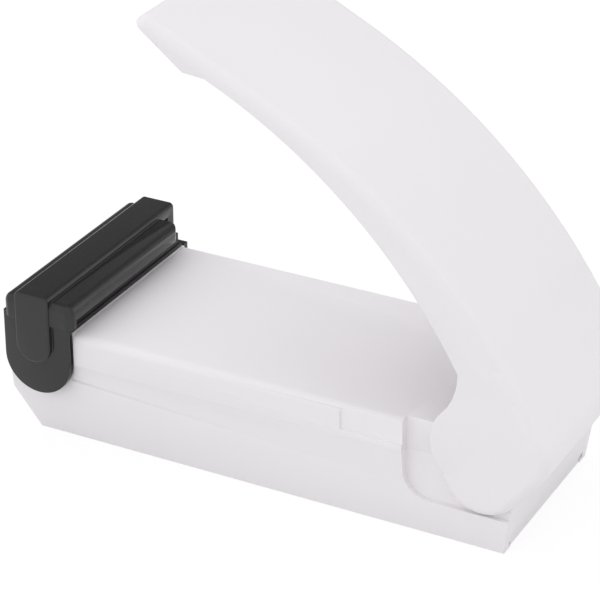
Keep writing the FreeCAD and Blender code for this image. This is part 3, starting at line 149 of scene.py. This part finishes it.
world = bpy.data.worlds.new("room")
world.use_nodes = True
room_tree = world.node_tree
way = new_node(room_tree, "ShaderNodeTexCoord", {}, "Generated")
toward_bright = new_node(room_tree, "ShaderNodeVectorMath", {
    0: way, 1: room_bright_side}, "Value", operation="DOT_PRODUCT")
room_level = new_node(room_tree, "ShaderNodeMapRange", {
    "Value": toward_bright, "From Min": -1, "To Min": room_strength[0],
    "To Max": room_strength[1]})
toward_wall = new_node(room_tree, "ShaderNodeVectorMath", {
    0: way, 1: wall_side}, "Value", operation="DOT_PRODUCT")
wall_level = new_node(room_tree, "ShaderNodeMapRange", {
    "Value": toward_wall, "From Min": wall_reach[0], "From Max": wall_reach[1],
    "To Min": 1.0, "To Max": wall_tone})
is_glossy = new_node(room_tree, "ShaderNodeLightPath", {}, "Is Glossy Ray")
shown_level = new_node(room_tree, "ShaderNodeMix", {
    "Factor": is_glossy, 2: room_level, 3: wall_level})
feed(room_tree.nodes["Background"], {"Color": white, "Strength": shown_level})
bpy.context.scene.world = world

sun_data = bpy.data.lights.new("sun", "SUN")
sun_data.energy = lamp_strength
sun_data.angle = lamp_spread
sun = bpy.data.objects.new("sun", sun_data)
bpy.context.scene.collection.objects.link(sun)
sun.rotation_euler = lamp_side.to_track_quat("Z", "Y").to_euler()


# ---------------------------------------------------------------- white mouldings
# Battery case with its lid and sliding door, press arm with its liner and jaw block: one
# semi-gloss white ABS, injection moulded, with small rounds along its edges.

mould_edge = 0.00022
mould_steps = 3
small_steps = 2
coplanar = math.radians(0.6)
sharp_from = math.radians(32)
same_point = 1e-6
plain_shine = 0.5
cloud_scale, cloud_detail, cloud_dark = 30.0, 3.0, 0.985
gloss_swing = 0.04
grain_scale, grain_detail, grain_depth = 2600.0, 2.0, 0.00002
even_reach = (0.3, 0.7)


def finished_copy(node, body, finish, edge, steps=small_steps):
    """Copy of a solid as one clean skin, with its sharp edges broken to a small round."""
    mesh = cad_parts[node].data.copy()
    mesh.name = node + "_skin"
    skin = bmesh.new()
    skin.from_mesh(mesh)
    bmesh.ops.remove_doubles(skin, verts=skin.verts, dist=same_point)
    bmesh.ops.dissolve_limit(skin, angle_limit=coplanar, verts=skin.verts, edges=skin.edges)
    skin.to_mesh(mesh)
    skin.free()
    mesh.shade_smooth()
    mesh.materials.clear()
    mesh.materials.append(finish)
    piece = bpy.data.objects.new(node + "_skin", mesh)
    bpy.context.scene.collection.objects.link(piece)
    if edge > 0:
        broken = piece.modifiers.new("broken_edges", "BEVEL")
        broken.width = edge
        broken.segments = steps
        broken.limit_method = "ANGLE"
        broken.angle_limit = sharp_from
        broken.use_clamp_overlap = True
        broken.harden_normals = True
        broken.miter_outer = "MITER_ARC"
    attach(piece, body)
    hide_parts(node)
    return piece


def noise(tree, place, scale, detail):
    """Noise from 0 to 1 over the given place."""
    return new_node(tree, "ShaderNodeTexNoise", {"Vector": place, "Scale": scale, "Detail": detail})


def own_place(tree):
    """Place on the piece, in its own coordinates."""
    return new_node(tree, "ShaderNodeTexCoord", {}, "Object")


def tinted(tree, share, dark, light, reach=even_reach):
    """Colour that runs from dark to light over part of the share's range."""
    ramp = tree.nodes.new("ShaderNodeValToRGB")
    for stop, position, colour in zip(ramp.color_ramp.elements, reach, (dark, light)):
        stop.position = position
        stop.color = (*colour, 1)
    feed(ramp, {"Fac": share})
    return ramp.outputs["Color"]


def spread(tree, share, low, high):
    """The share, from 0 to 1, spread from low to high."""
    return new_node(tree, "ShaderNodeMapRange", {"Value": share, "To Min": low, "To Max": high})


def relief(tree, height, strength, depth):
    """Surface normal bent by a height."""
    return new_node(tree, "ShaderNodeBump", {
        "Height": height, "Strength": strength, "Distance": depth})


def moulded_plastic(name, colour, roughness, grain, shine=plain_shine):
    """Moulded plastic: faint uneven tint, fine skin texture, slightly uneven gloss."""
    material, tree, shader = new_material(name)
    place = own_place(tree)
    cloud = noise(tree, place, cloud_scale, cloud_detail)
    skin = noise(tree, place, grain_scale, grain_detail)
    feed(shader, {
        "Specular IOR Level": shine,
        "Base Color": tinted(tree, cloud, [channel * cloud_dark for channel in colour], colour),
        "Roughness": spread(tree, cloud, roughness - gloss_swing, roughness + gloss_swing),
        "Normal": relief(tree, skin, grain, grain_depth)})
    return material


white_plastic = moulded_plastic("white_plastic", colour=(0.86, 0.835, 0.86), roughness=0.42,
                                grain=0.25, shine=0.3)
for node, body in (("lower_case", "base"), ("upper_case", "base"), ("battery_door", "door"),
                   ("arm_shell", "arm"), ("arm_liner", "arm"), ("jaw_block", "arm")):
    finished_copy(node, body, white_plastic, mould_edge, mould_steps)


# ---------------------------------------------------------------- flip-over cover
# Polished black moulded cap over the hot bar, with a raised band over its top and down both ends.
# It hangs on two round ears, which turn on short pivots at both sides of the case's front block.

cap_edge = 0.0006

black_plastic = moulded_plastic("black_plastic", colour=(0.023, 0.023, 0.024), roughness=0.08,
                                grain=0.06, shine=0.42)
finished_copy("safety_cover", "cover", black_plastic, cap_edge, mould_steps)


# ---------------------------------------------------------------- hot bar
# Channel of matt black heat-proof resin, a pale bed in it, a flat heating ribbon clamped at both
# ends by brass blocks, and a strip of coated glass cloth over it.

resin_edge = 0.00012
bed_edge = 0.00015
clamp_edge = 0.0001
speck_detail, speck_depth = 5.0, 0.00003
speck_reach = (0.38, 0.6)
mark_detail, mark_depth, mark_dark = 4.0, 0.00001, 0.82
mark_gloss = (0.8, 1.25)
wave_period = 0.314    # of the wave texture at a scale of 1
stain_scale, stain_detail = 220.0, 2.0
weave_share = 0.5
weave_reach = (0.3, 0.9)
weave_relief, weave_depth = 0.6, 0.00004
coat_roughness = 0.38

heater_resin = moulded_plastic("heater_resin", colour=(0.022, 0.021, 0.020), roughness=0.55,
                               grain=0.8)
finished_copy("heater_frame", "base", heater_resin, resin_edge)


def speckled(name, light, dark, scale, roughness, strength):
    """Matt filler-rich surface of two close colours in fine specks."""
    material, tree, shader = new_material(name)
    specks = noise(tree, own_place(tree), scale, speck_detail)
    feed(shader, {"Base Color": tinted(tree, specks, dark, light, speck_reach),
                  "Roughness": roughness, "Normal": relief(tree, specks, strength, speck_depth)})
    return material


bed_board = speckled("bed_board", light=(0.64, 0.60, 0.52), dark=(0.50, 0.46, 0.39),
                     scale=1500.0, roughness=0.8, strength=0.5)
finished_copy("heater_bed", "base", bed_board, bed_edge)


def drawn_metal(name, colour, roughness, grain, scratch):
    """Bare metal with fine marks; grain gives the marks' density along X, Y and Z."""
    material, tree, shader = new_material(name)
    stretched = new_node(tree, "ShaderNodeMapping", {"Vector": own_place(tree), "Scale": grain})
    marks = noise(tree, stretched, 1.0, mark_detail)
    feed(shader, {
        "Metallic": 1.0,
        "Base Color": tinted(tree, marks, [channel * mark_dark for channel in colour], colour),
        "Roughness": spread(tree, marks, roughness * mark_gloss[0], roughness * mark_gloss[1]),
        "Normal": relief(tree, marks, scratch, mark_depth)})
    return material


clamp_brass = drawn_metal("clamp_brass", colour=(0.80, 0.60, 0.29), roughness=0.30,
                          grain=(900, 900, 900), scratch=0.3)
finished_copy("ribbon_clips", "base", clamp_brass, clamp_edge)
ribbon_metal = drawn_metal("ribbon_metal", colour=(0.50, 0.47, 0.44), roughness=0.32,
                           grain=(6000, 120, 6000), scratch=0.5)
finished_copy("heating_ribbon", "base", ribbon_metal, edge=0)


def woven_cloth(name, light, dark, thread_pitch):
    """Glass cloth under a brown non-stick coat: the weave shows through as a low relief."""
    material, tree, shader = new_material(name)
    place = own_place(tree)
    threads = [new_node(tree, "ShaderNodeTexWave", {
        "Vector": place, "Scale": wave_period / thread_pitch}, "Fac", bands_direction=direction)
        for direction in ("X", "Y")]
    weave = new_node(tree, "ShaderNodeMath", {0: threads[0], 1: threads[1]}, operation="MULTIPLY")
    stain = noise(tree, place, stain_scale, stain_detail)
    stained = new_node(tree, "ShaderNodeMath", {0: weave, 1: weave_share, 2: stain},
                       operation="MULTIPLY_ADD")
    feed(shader, {"Base Color": tinted(tree, stained, dark, light, weave_reach),
                  "Roughness": coat_roughness,
                  "Normal": relief(tree, weave, weave_relief, weave_depth)})
    return material


release_cloth = woven_cloth("release_cloth", light=(0.44, 0.29, 0.16), dark=(0.27, 0.16, 0.08),
                            thread_pitch=0.0004)
finished_copy("release_tape", "base", release_cloth, edge=0)


# ---------------------------------------------------------------- cells
# Two AA cells, which lie side by side and head to tail in the bay, between contacts and springs.
# Each is a nickel-plated steel can in a plain grey sleeve with a lighter band at the button's end.

cell_long = 0.050
cell_edge = 0.00025
can_show = 0.0012
shoulder_show = 0.0022
band_long = 0.0115
sleeve_grey = (0.17, 0.18, 0.21)
sleeve_light = (0.42, 0.44, 0.48)
light_metallic = 0.6
can_steel = (0.66, 0.65, 0.63)
scuff_scale, scuff_detail = 400.0, 2.0
sleeve_gloss = (0.18, 0.36)


def cell_sleeve(name):
    """Colours by the distance from the flat end, kept on the cell's own attribute."""
    material, tree, shader = new_material(name)
    distance = new_node(tree, "ShaderNodeAttribute", {}, "Fac", attribute_name="from_flat_end")
    share = new_node(tree, "ShaderNodeMath", {0: distance, 1: cell_long}, operation="DIVIDE")
    stops = ((0.0, can_steel, 1.0), (can_show / cell_long, sleeve_grey, 0.0),
             (1 - (band_long + can_show) / cell_long, sleeve_light, light_metallic),
             (1 - shoulder_show / cell_long, can_steel, 1.0))
    for values, socket in (([stop[1] for stop in stops], "Base Color"),
                           ([(stop[2],) * 3 for stop in stops], "Metallic")):
        ramp = tree.nodes.new("ShaderNodeValToRGB")
        ramp.color_ramp.interpolation = "CONSTANT"
        ramp.color_ramp.elements[0].color = (*values[0], 1)
        ramp.color_ramp.elements[1].position = stops[1][0]
        ramp.color_ramp.elements[1].color = (*values[1], 1)
        for stop, value in zip(stops[2:], values[2:]):
            ramp.color_ramp.elements.new(stop[0]).color = (*value, 1)
        feed(ramp, {"Fac": share})
        feed(shader, {socket: ramp.outputs["Color"]})
    scuff = noise(tree, own_place(tree), scuff_scale, scuff_detail)
    feed(shader, {"Roughness": spread(tree, scuff, *sleeve_gloss)})
    return material


cell_jacket = cell_sleeve("cell_jacket")
for node, flat_end_rear in (("aa_cell_left", True), ("aa_cell_right", False)):
    cell = finished_copy(node, "base", cell_jacket, cell_edge)
    low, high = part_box(node)
    distance = cell.data.attributes.new("from_flat_end", "FLOAT", "POINT")
    for index, vertex in enumerate(cell.data.vertices):
        distance.data[index].value = high.x - vertex.co.x if flat_end_rear else vertex.co.x - low.x


# ---------------------------------------------------------------- contacts and switch
# Stamped cell contacts in nickel-plated strip, which stand at both ends of the bay. The switch's
# leaf under the lid and the stud plate below its tip are brass strip.

strip_edge = 0.00006

contact_nickel = drawn_metal("contact_nickel", colour=(0.70, 0.68, 0.64), roughness=0.22,
                             grain=(300, 2400, 300), scratch=0.3)
for node in ("bridge_contact", "negative_contact", "positive_contact"):
    finished_copy(node, "base", contact_nickel, strip_edge)
for node in ("switch_leaf", "switch_contact"):
    finished_copy(node, "base", clamp_brass, strip_edge)


# ---------------------------------------------------------------- leads
# Three leads in a thin red sleeve: from one ribbon clamp to the switch's stud, from the other
# clamp to a cell contact, and from the other cell contact to the switch's leaf.

lead_sleeve = moulded_plastic("lead_sleeve", colour=(0.55, 0.035, 0.025), roughness=0.4,
                              grain=0.5)
finished_copy("lead_wires", "base", lead_sleeve, edge=0)


# ---------------------------------------------------------------- springs
# Torsion spring round the hinge pin, with one leg along the tray and one up under the arm's roof,
# and the cells' two conical springs. All are wound from bright round wire, which a node tree
# sweeps along its path.

coil_radius = 0.00235
coil_wire = 0.00035
coil_turns = 7
coil_pitch = 0.00095
quarter_steps = 10
tray_leg = 0.0072
arm_leg = 0.0204
hinge_point = Vector((0.045, 0.0, 0.015))
cell_spring_radius = 0.0032
cell_spring_taper = 0.3
cell_spring_turns = 2.5
cell_spring_wire = 0.0003
steps_per_turn = 40
wire_sides = 14
same_wire_point = 1e-7


def new_geometry_tree(name, inputs, output):
    """Geometry node tree with its sockets; returns it with its inputs and its last node."""
    tree = bpy.data.node_groups.new(name, "GeometryNodeTree")
    for socket, kind in inputs.items():
        tree.interface.new_socket(socket, in_out="INPUT", socket_type="NodeSocket" + kind)
    tree.interface.new_socket(output, in_out="OUTPUT", socket_type="NodeSocketGeometry")
    return tree, tree.nodes.new("NodeGroupInput").outputs, tree.nodes.new("NodeGroupOutput")


def hand_out(tree, geometry, finish, result, output):
    """End of a tree: real, coated geometry at its output."""
    real = new_node(tree, "GeometryNodeRealizeInstances", {"Geometry": geometry})
    coated = new_node(tree, "GeometryNodeSetMaterial", {"Geometry": real, "Material": finish})
    feed(result, {output: coated})


def wound_wire_tree():
    """Node tree: a round wire along the edges of its input."""
    tree, given, result = new_geometry_tree("wound_wire", {
        "Path": "Geometry", "Wire radius": "Float", "Sides": "Int", "Finish": "Material"}, "Wire")
    path = new_node(tree, "GeometryNodeMeshToCurve", {"Mesh": given["Path"]})
    ring = new_node(tree, "GeometryNodeCurvePrimitiveCircle", {
        "Radius": given["Wire radius"], "Resolution": given["Sides"]}, "Curve")
    swept = new_node(tree, "GeometryNodeCurveToMesh", {
        "Curve": path, "Profile Curve": ring, "Fill Caps": True})
    smooth = new_node(tree, "GeometryNodeSetShadeSmooth", {"Geometry": swept})
    hand_out(tree, smooth, given["Finish"], result, "Wire")
    return tree


def grown(name, mesh, tree, sizes, finish, slot, *nodes):
    """Piece that a node tree grows from a mesh, made plain."""
    seed = bpy.data.objects.new(name + "_seed", mesh)
    bpy.context.scene.collection.objects.link(seed)
    grower = seed.modifiers.new(name, "NODES")
    grower.node_group = tree
    given = {**sizes, "Finish": finish}
    for socket in tree.interface.items_tree:
        if socket.in_out == "INPUT" and socket.name in given:
            grower[socket.identifier] = given[socket.name]
    shown = seed.evaluated_get(bpy.context.evaluated_depsgraph_get())
    plain = bpy.data.meshes.new_from_object(shown)
    plain.name = name
    bpy.data.objects.remove(seed)
    shape = bmesh.new()
    shape.from_mesh(plain)
    bmesh.ops.remove_doubles(shape, verts=shape.verts, dist=same_wire_point)
    bmesh.ops.recalc_face_normals(shape, faces=shape.faces)
    shape.to_mesh(plain)
    shape.free()
    piece = bpy.data.objects.new(name, plain)
    bpy.context.scene.collection.objects.link(piece)
    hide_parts(*nodes)
    return piece


def path_mesh(name, runs):
    """Mesh of open edge runs, one for each list of points."""
    points, edges = [], []
    for run in runs:
        edges += [(len(points) + index, len(points) + index + 1) for index in range(len(run) - 1)]
        points += run
    mesh = bpy.data.meshes.new(name)
    mesh.from_pydata(points, edges, [])
    return mesh


def winding(start, out, along, radius, last_radius, turns, pitch):
    """Points of a coil about the line from start along `along`, first at the side `out`."""
    count = round(turns * steps_per_turn)
    ahead = along.cross(out)
    points = []
    for step in range(count + 1):
        turn = 2 * math.pi * turns * step / count
        size = radius + (last_radius - radius) * step / count
        points.append(start + along * (pitch * turns * step / count)
                      + (out * math.cos(turn) + ahead * math.sin(turn)) * size)
    return points


spring_steel = drawn_metal("spring_steel", colour=(0.56, 0.56, 0.57), roughness=0.24,
                           grain=(1500, 1500, 1500), scratch=0.3)
wound_wire = wound_wire_tree()

rear, down, aside = Vector((1, 0, 0)), Vector((0, 0, -1)), Vector((0, -1, 0))
coil_start = hinge_point - aside * (coil_turns * coil_pitch / 2)
quarter = [coil_start + (down * math.cos(turn) + rear * math.sin(turn)) * coil_radius
           for turn in (math.pi / 2 * step / quarter_steps for step in range(quarter_steps + 1))]
coil = winding(coil_start, rear, aside, coil_radius, coil_radius, coil_turns, coil_pitch)
spring_run = [quarter[0] - rear * tray_leg] + quarter + coil[1:] + [coil[-1] - down * arm_leg]
torsion_spring = grown("torsion_spring_wire", path_mesh("spring_path", [spring_run]), wound_wire,
                       {"Wire radius": coil_wire, "Sides": wire_sides}, spring_steel,
                       "spring_steel", "torsion_spring")
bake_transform(torsion_spring)

low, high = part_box("contact_springs")
cell_line = (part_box("aa_cell_left")[0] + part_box("aa_cell_left")[1]) / 2
spring_ends = []
for side, out_of, way in ((-1, low.x, 1), (1, high.x, -1)):
    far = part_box("aa_cell_right")[0].x if side < 0 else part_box("aa_cell_left")[1].x
    room_left = abs(far - out_of) - 2 * cell_spring_wire
    first = Vector((out_of + way * cell_spring_wire, side * cell_line.y, cell_line.z))
    spring_ends.append(winding(first, Vector((0, 0, 1)), Vector((way, 0, 0)), cell_spring_radius,
                               cell_spring_radius * (1 - cell_spring_taper), cell_spring_turns,
                               room_left / cell_spring_turns))
cell_springs = grown("cell_spring_wires", path_mesh("cell_spring_paths", spring_ends), wound_wire,
                     {"Wire radius": cell_spring_wire, "Sides": wire_sides}, spring_steel,
                     "spring_steel", "contact_springs")
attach(cell_springs, "base")


# ---------------------------------------------------------------- hinge pin
# Plain ground steel pin through the case's knuckle. The arm's cheeks take its ends in blind holes,
# so that it doesn't show from outside.

pin_edge = 0.00015

pin_steel = drawn_metal("pin_steel", colour=(0.60, 0.60, 0.61), roughness=0.2,
                        grain=(1200, 60, 1200), scratch=0.2)
finished_copy("hinge_pin", "base", pin_steel, pin_edge)


# ---------------------------------------------------------------- screws
# Zinc-plated self-tapping screws with domed cross-slot heads: four pull the lid down on the tray,
# two hold the hot bar's channel and two the arm's liner. A node tree grows one on each seat.

screw_sizes = {"Shank radius": 0.00078, "Head radius": 0.0018, "Head height": 0.0012,
               "Thread pitch": 0.0008, "Thread depth": 0.0002, "Slot width": 0.0004,
               "Slot depth": 0.0005, "Tip length": 0.0009}
slot_long = 1.2    # in head radii
cutter_wide = 4.0    # in head radii
tip_blunt = 0.25    # of the shank's radius
head_segments, head_rings = 36, 18
shank_sides = 24
thread_steps = 20
ridge_sides = 4
arm_open = math.radians(38.0)
length_digits = 5
tenths_of_mm = 1e4


def screw_tree():
    """Node tree: a domed cross-slot screw on every point, its tip along the point's +Z."""
    tree, size, result = new_geometry_tree("self_tapping_screws", {
        "Seats": "Geometry", "Length": "Float", "Tilt": "Float",
        **dict.fromkeys(screw_sizes, "Float"), "Finish": "Material"}, "Screws")

    def reckoned(operation, first, second):
        return new_node(tree, "ShaderNodeMath", {0: first, 1: second}, operation=operation)

    def vector_of(x, y, z):
        return new_node(tree, "ShaderNodeCombineXYZ", {"X": x, "Y": y, "Z": z})

    def raised(geometry, height, **more):
        return new_node(tree, "GeometryNodeTransform", {
            "Geometry": geometry, "Translation": vector_of(0.0, 0.0, height), **more})

    def raised_from_head(geometry, long):
        """A shape of this length about its middle, with its low end on the head."""
        half = reckoned("MULTIPLY", long, 0.5)
        return raised(geometry, reckoned("ADD", size["Head height"], half))

    ball = new_node(tree, "GeometryNodeMeshUVSphere", {
        "Segments": head_segments, "Rings": head_rings, "Radius": size["Head radius"]}, "Mesh")
    flat = reckoned("DIVIDE", size["Head height"], size["Head radius"])
    dome = raised(ball, size["Head height"], Scale=vector_of(1.0, 1.0, flat))

    wide = reckoned("MULTIPLY", size["Head radius"], cutter_wide)
    above = new_node(tree, "GeometryNodeMeshCube", {"Size": vector_of(wide, wide, wide)}, "Mesh")
    cutters = [raised_from_head(above, wide)]
    long = reckoned("MULTIPLY", size["Head radius"], slot_long)
    twice = reckoned("MULTIPLY", size["Slot depth"], 2.0)
    for bar in ((long, size["Slot width"]), (size["Slot width"], long)):
        slot = new_node(tree, "GeometryNodeMeshCube", {"Size": vector_of(*bar, twice)}, "Mesh")
        cutters.append(raised(slot, 0.0))
    cut = tree.nodes.new("GeometryNodeMeshBoolean")
    cut.operation = "DIFFERENCE"
    feed(cut, {"Mesh 1": dome})
    for cutter in cutters:
        feed(cut, {"Mesh 2": cutter})

    past_head = reckoned("SUBTRACT", size["Length"], size["Head height"])
    body_long = reckoned("SUBTRACT", past_head, size["Tip length"])
    shank = new_node(tree, "GeometryNodeMeshCylinder", {
        "Vertices": shank_sides, "Radius": size["Shank radius"], "Depth": body_long}, "Mesh")
    tip = new_node(tree, "GeometryNodeMeshCone", {
        "Vertices": shank_sides, "Radius Bottom": size["Shank radius"],
        "Radius Top": reckoned("MULTIPLY", size["Shank radius"], tip_blunt),
        "Depth": size["Tip length"]}, "Mesh")
    tip_high = raised(tip, reckoned("ADD", size["Head height"], body_long))

    spiral = new_node(tree, "GeometryNodeCurveSpiral", {
        "Resolution": thread_steps, "Start Radius": size["Shank radius"],
        "Rotations": reckoned("DIVIDE", body_long, size["Thread pitch"]),
        "End Radius": size["Shank radius"], "Height": body_long})
    ridge = new_node(tree, "GeometryNodeCurvePrimitiveCircle", {
        "Resolution": ridge_sides, "Radius": size["Thread depth"]}, "Curve")
    thread = new_node(tree, "GeometryNodeCurveToMesh", {
        "Curve": spiral, "Profile Curve": ridge, "Fill Caps": True})

    whole = tree.nodes.new("GeometryNodeJoinGeometry")
    for part in (cut.outputs["Mesh"], raised_from_head(shank, body_long), tip_high,
                 raised(thread, size["Head height"])):
        feed(whole, {"Geometry": part})
    screws = new_node(tree, "GeometryNodeInstanceOnPoints", {
        "Points": size["Seats"], "Instance": whole.outputs["Geometry"],
        "Rotation": vector_of(0.0, size["Tilt"], 0.0)})
    hand_out(tree, screws, size["Finish"], result, "Screws")
    return tree


def screw_seats(node, tilt):
    """Middles of the screw heads' outer faces, read from the solid, as a mesh for each length."""
    up = Vector((math.sin(tilt), 0, math.cos(tilt)))
    cross = Vector((math.cos(tilt), 0, -math.sin(tilt)))
    side = Vector((0, 1, 0))
    shape = bmesh.new()
    shape.from_mesh(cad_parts[node].data)
    bmesh.ops.remove_doubles(shape, verts=shape.verts, dist=same_point)
    left, seats = set(shape.verts), {}
    while left:
        screw, reached = set(), [left.pop()]
        while reached:
            vertex = reached.pop()
            screw.add(vertex)
            for edge in vertex.link_edges:
                other = edge.other_vert(vertex)
                if other in left:
                    left.remove(other)
                    reached.append(other)
        across, along, upward = [
            (min(v.co.dot(axis) for v in screw), max(v.co.dot(axis) for v in screw))
            for axis in (cross, side, up)]
        length = round(upward[1] - upward[0], length_digits)
        seats.setdefault(length, []).append(
            cross * sum(across) / 2 + side * sum(along) / 2 + up * upward[0])
    shape.free()
    meshes = []
    for length in sorted(seats):
        mesh = bpy.data.meshes.new(node + "_seats")
        mesh.from_pydata(sorted(seats[length], key=tuple), [], [])
        meshes.append((length, mesh))
    return meshes


screw_zinc = drawn_metal("screw_zinc", colour=(0.60, 0.62, 0.66), roughness=0.3,
                         grain=(800, 800, 800), scratch=0.4)
self_tapping = screw_tree()
for node, body, tilt in (("case_screws", "base", 0.0), ("frame_screws", "base", 0.0),
                         ("liner_screws", "arm", arm_open)):
    for length, seats in screw_seats(node, tilt):
        screws = grown(f"{node}_{round(length * tenths_of_mm)}", seats, self_tapping,
                       {**screw_sizes, "Length": length, "Tilt": tilt}, screw_zinc,
                       "screw_zinc", node)
        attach(screws, body)


# ---------------------------------------------------------------- silicone strip
# Off-white silicone strip, which presses the bag on the hot bar. It is let into a groove of the
# jaw block under the arm's tip.

strip_round = 0.0002
scatter_share, scatter_depth = 0.15, 0.001

pad_silicone = moulded_plastic("pad_silicone", colour=(0.70, 0.68, 0.64), roughness=0.5,
                               grain=0.6)
feed(pad_silicone.node_tree.nodes["Principled BSDF"], {
    "Subsurface Weight": scatter_share, "Subsurface Scale": scatter_depth})
finished_copy("silicone_strip", "arm", pad_silicone, strip_round)
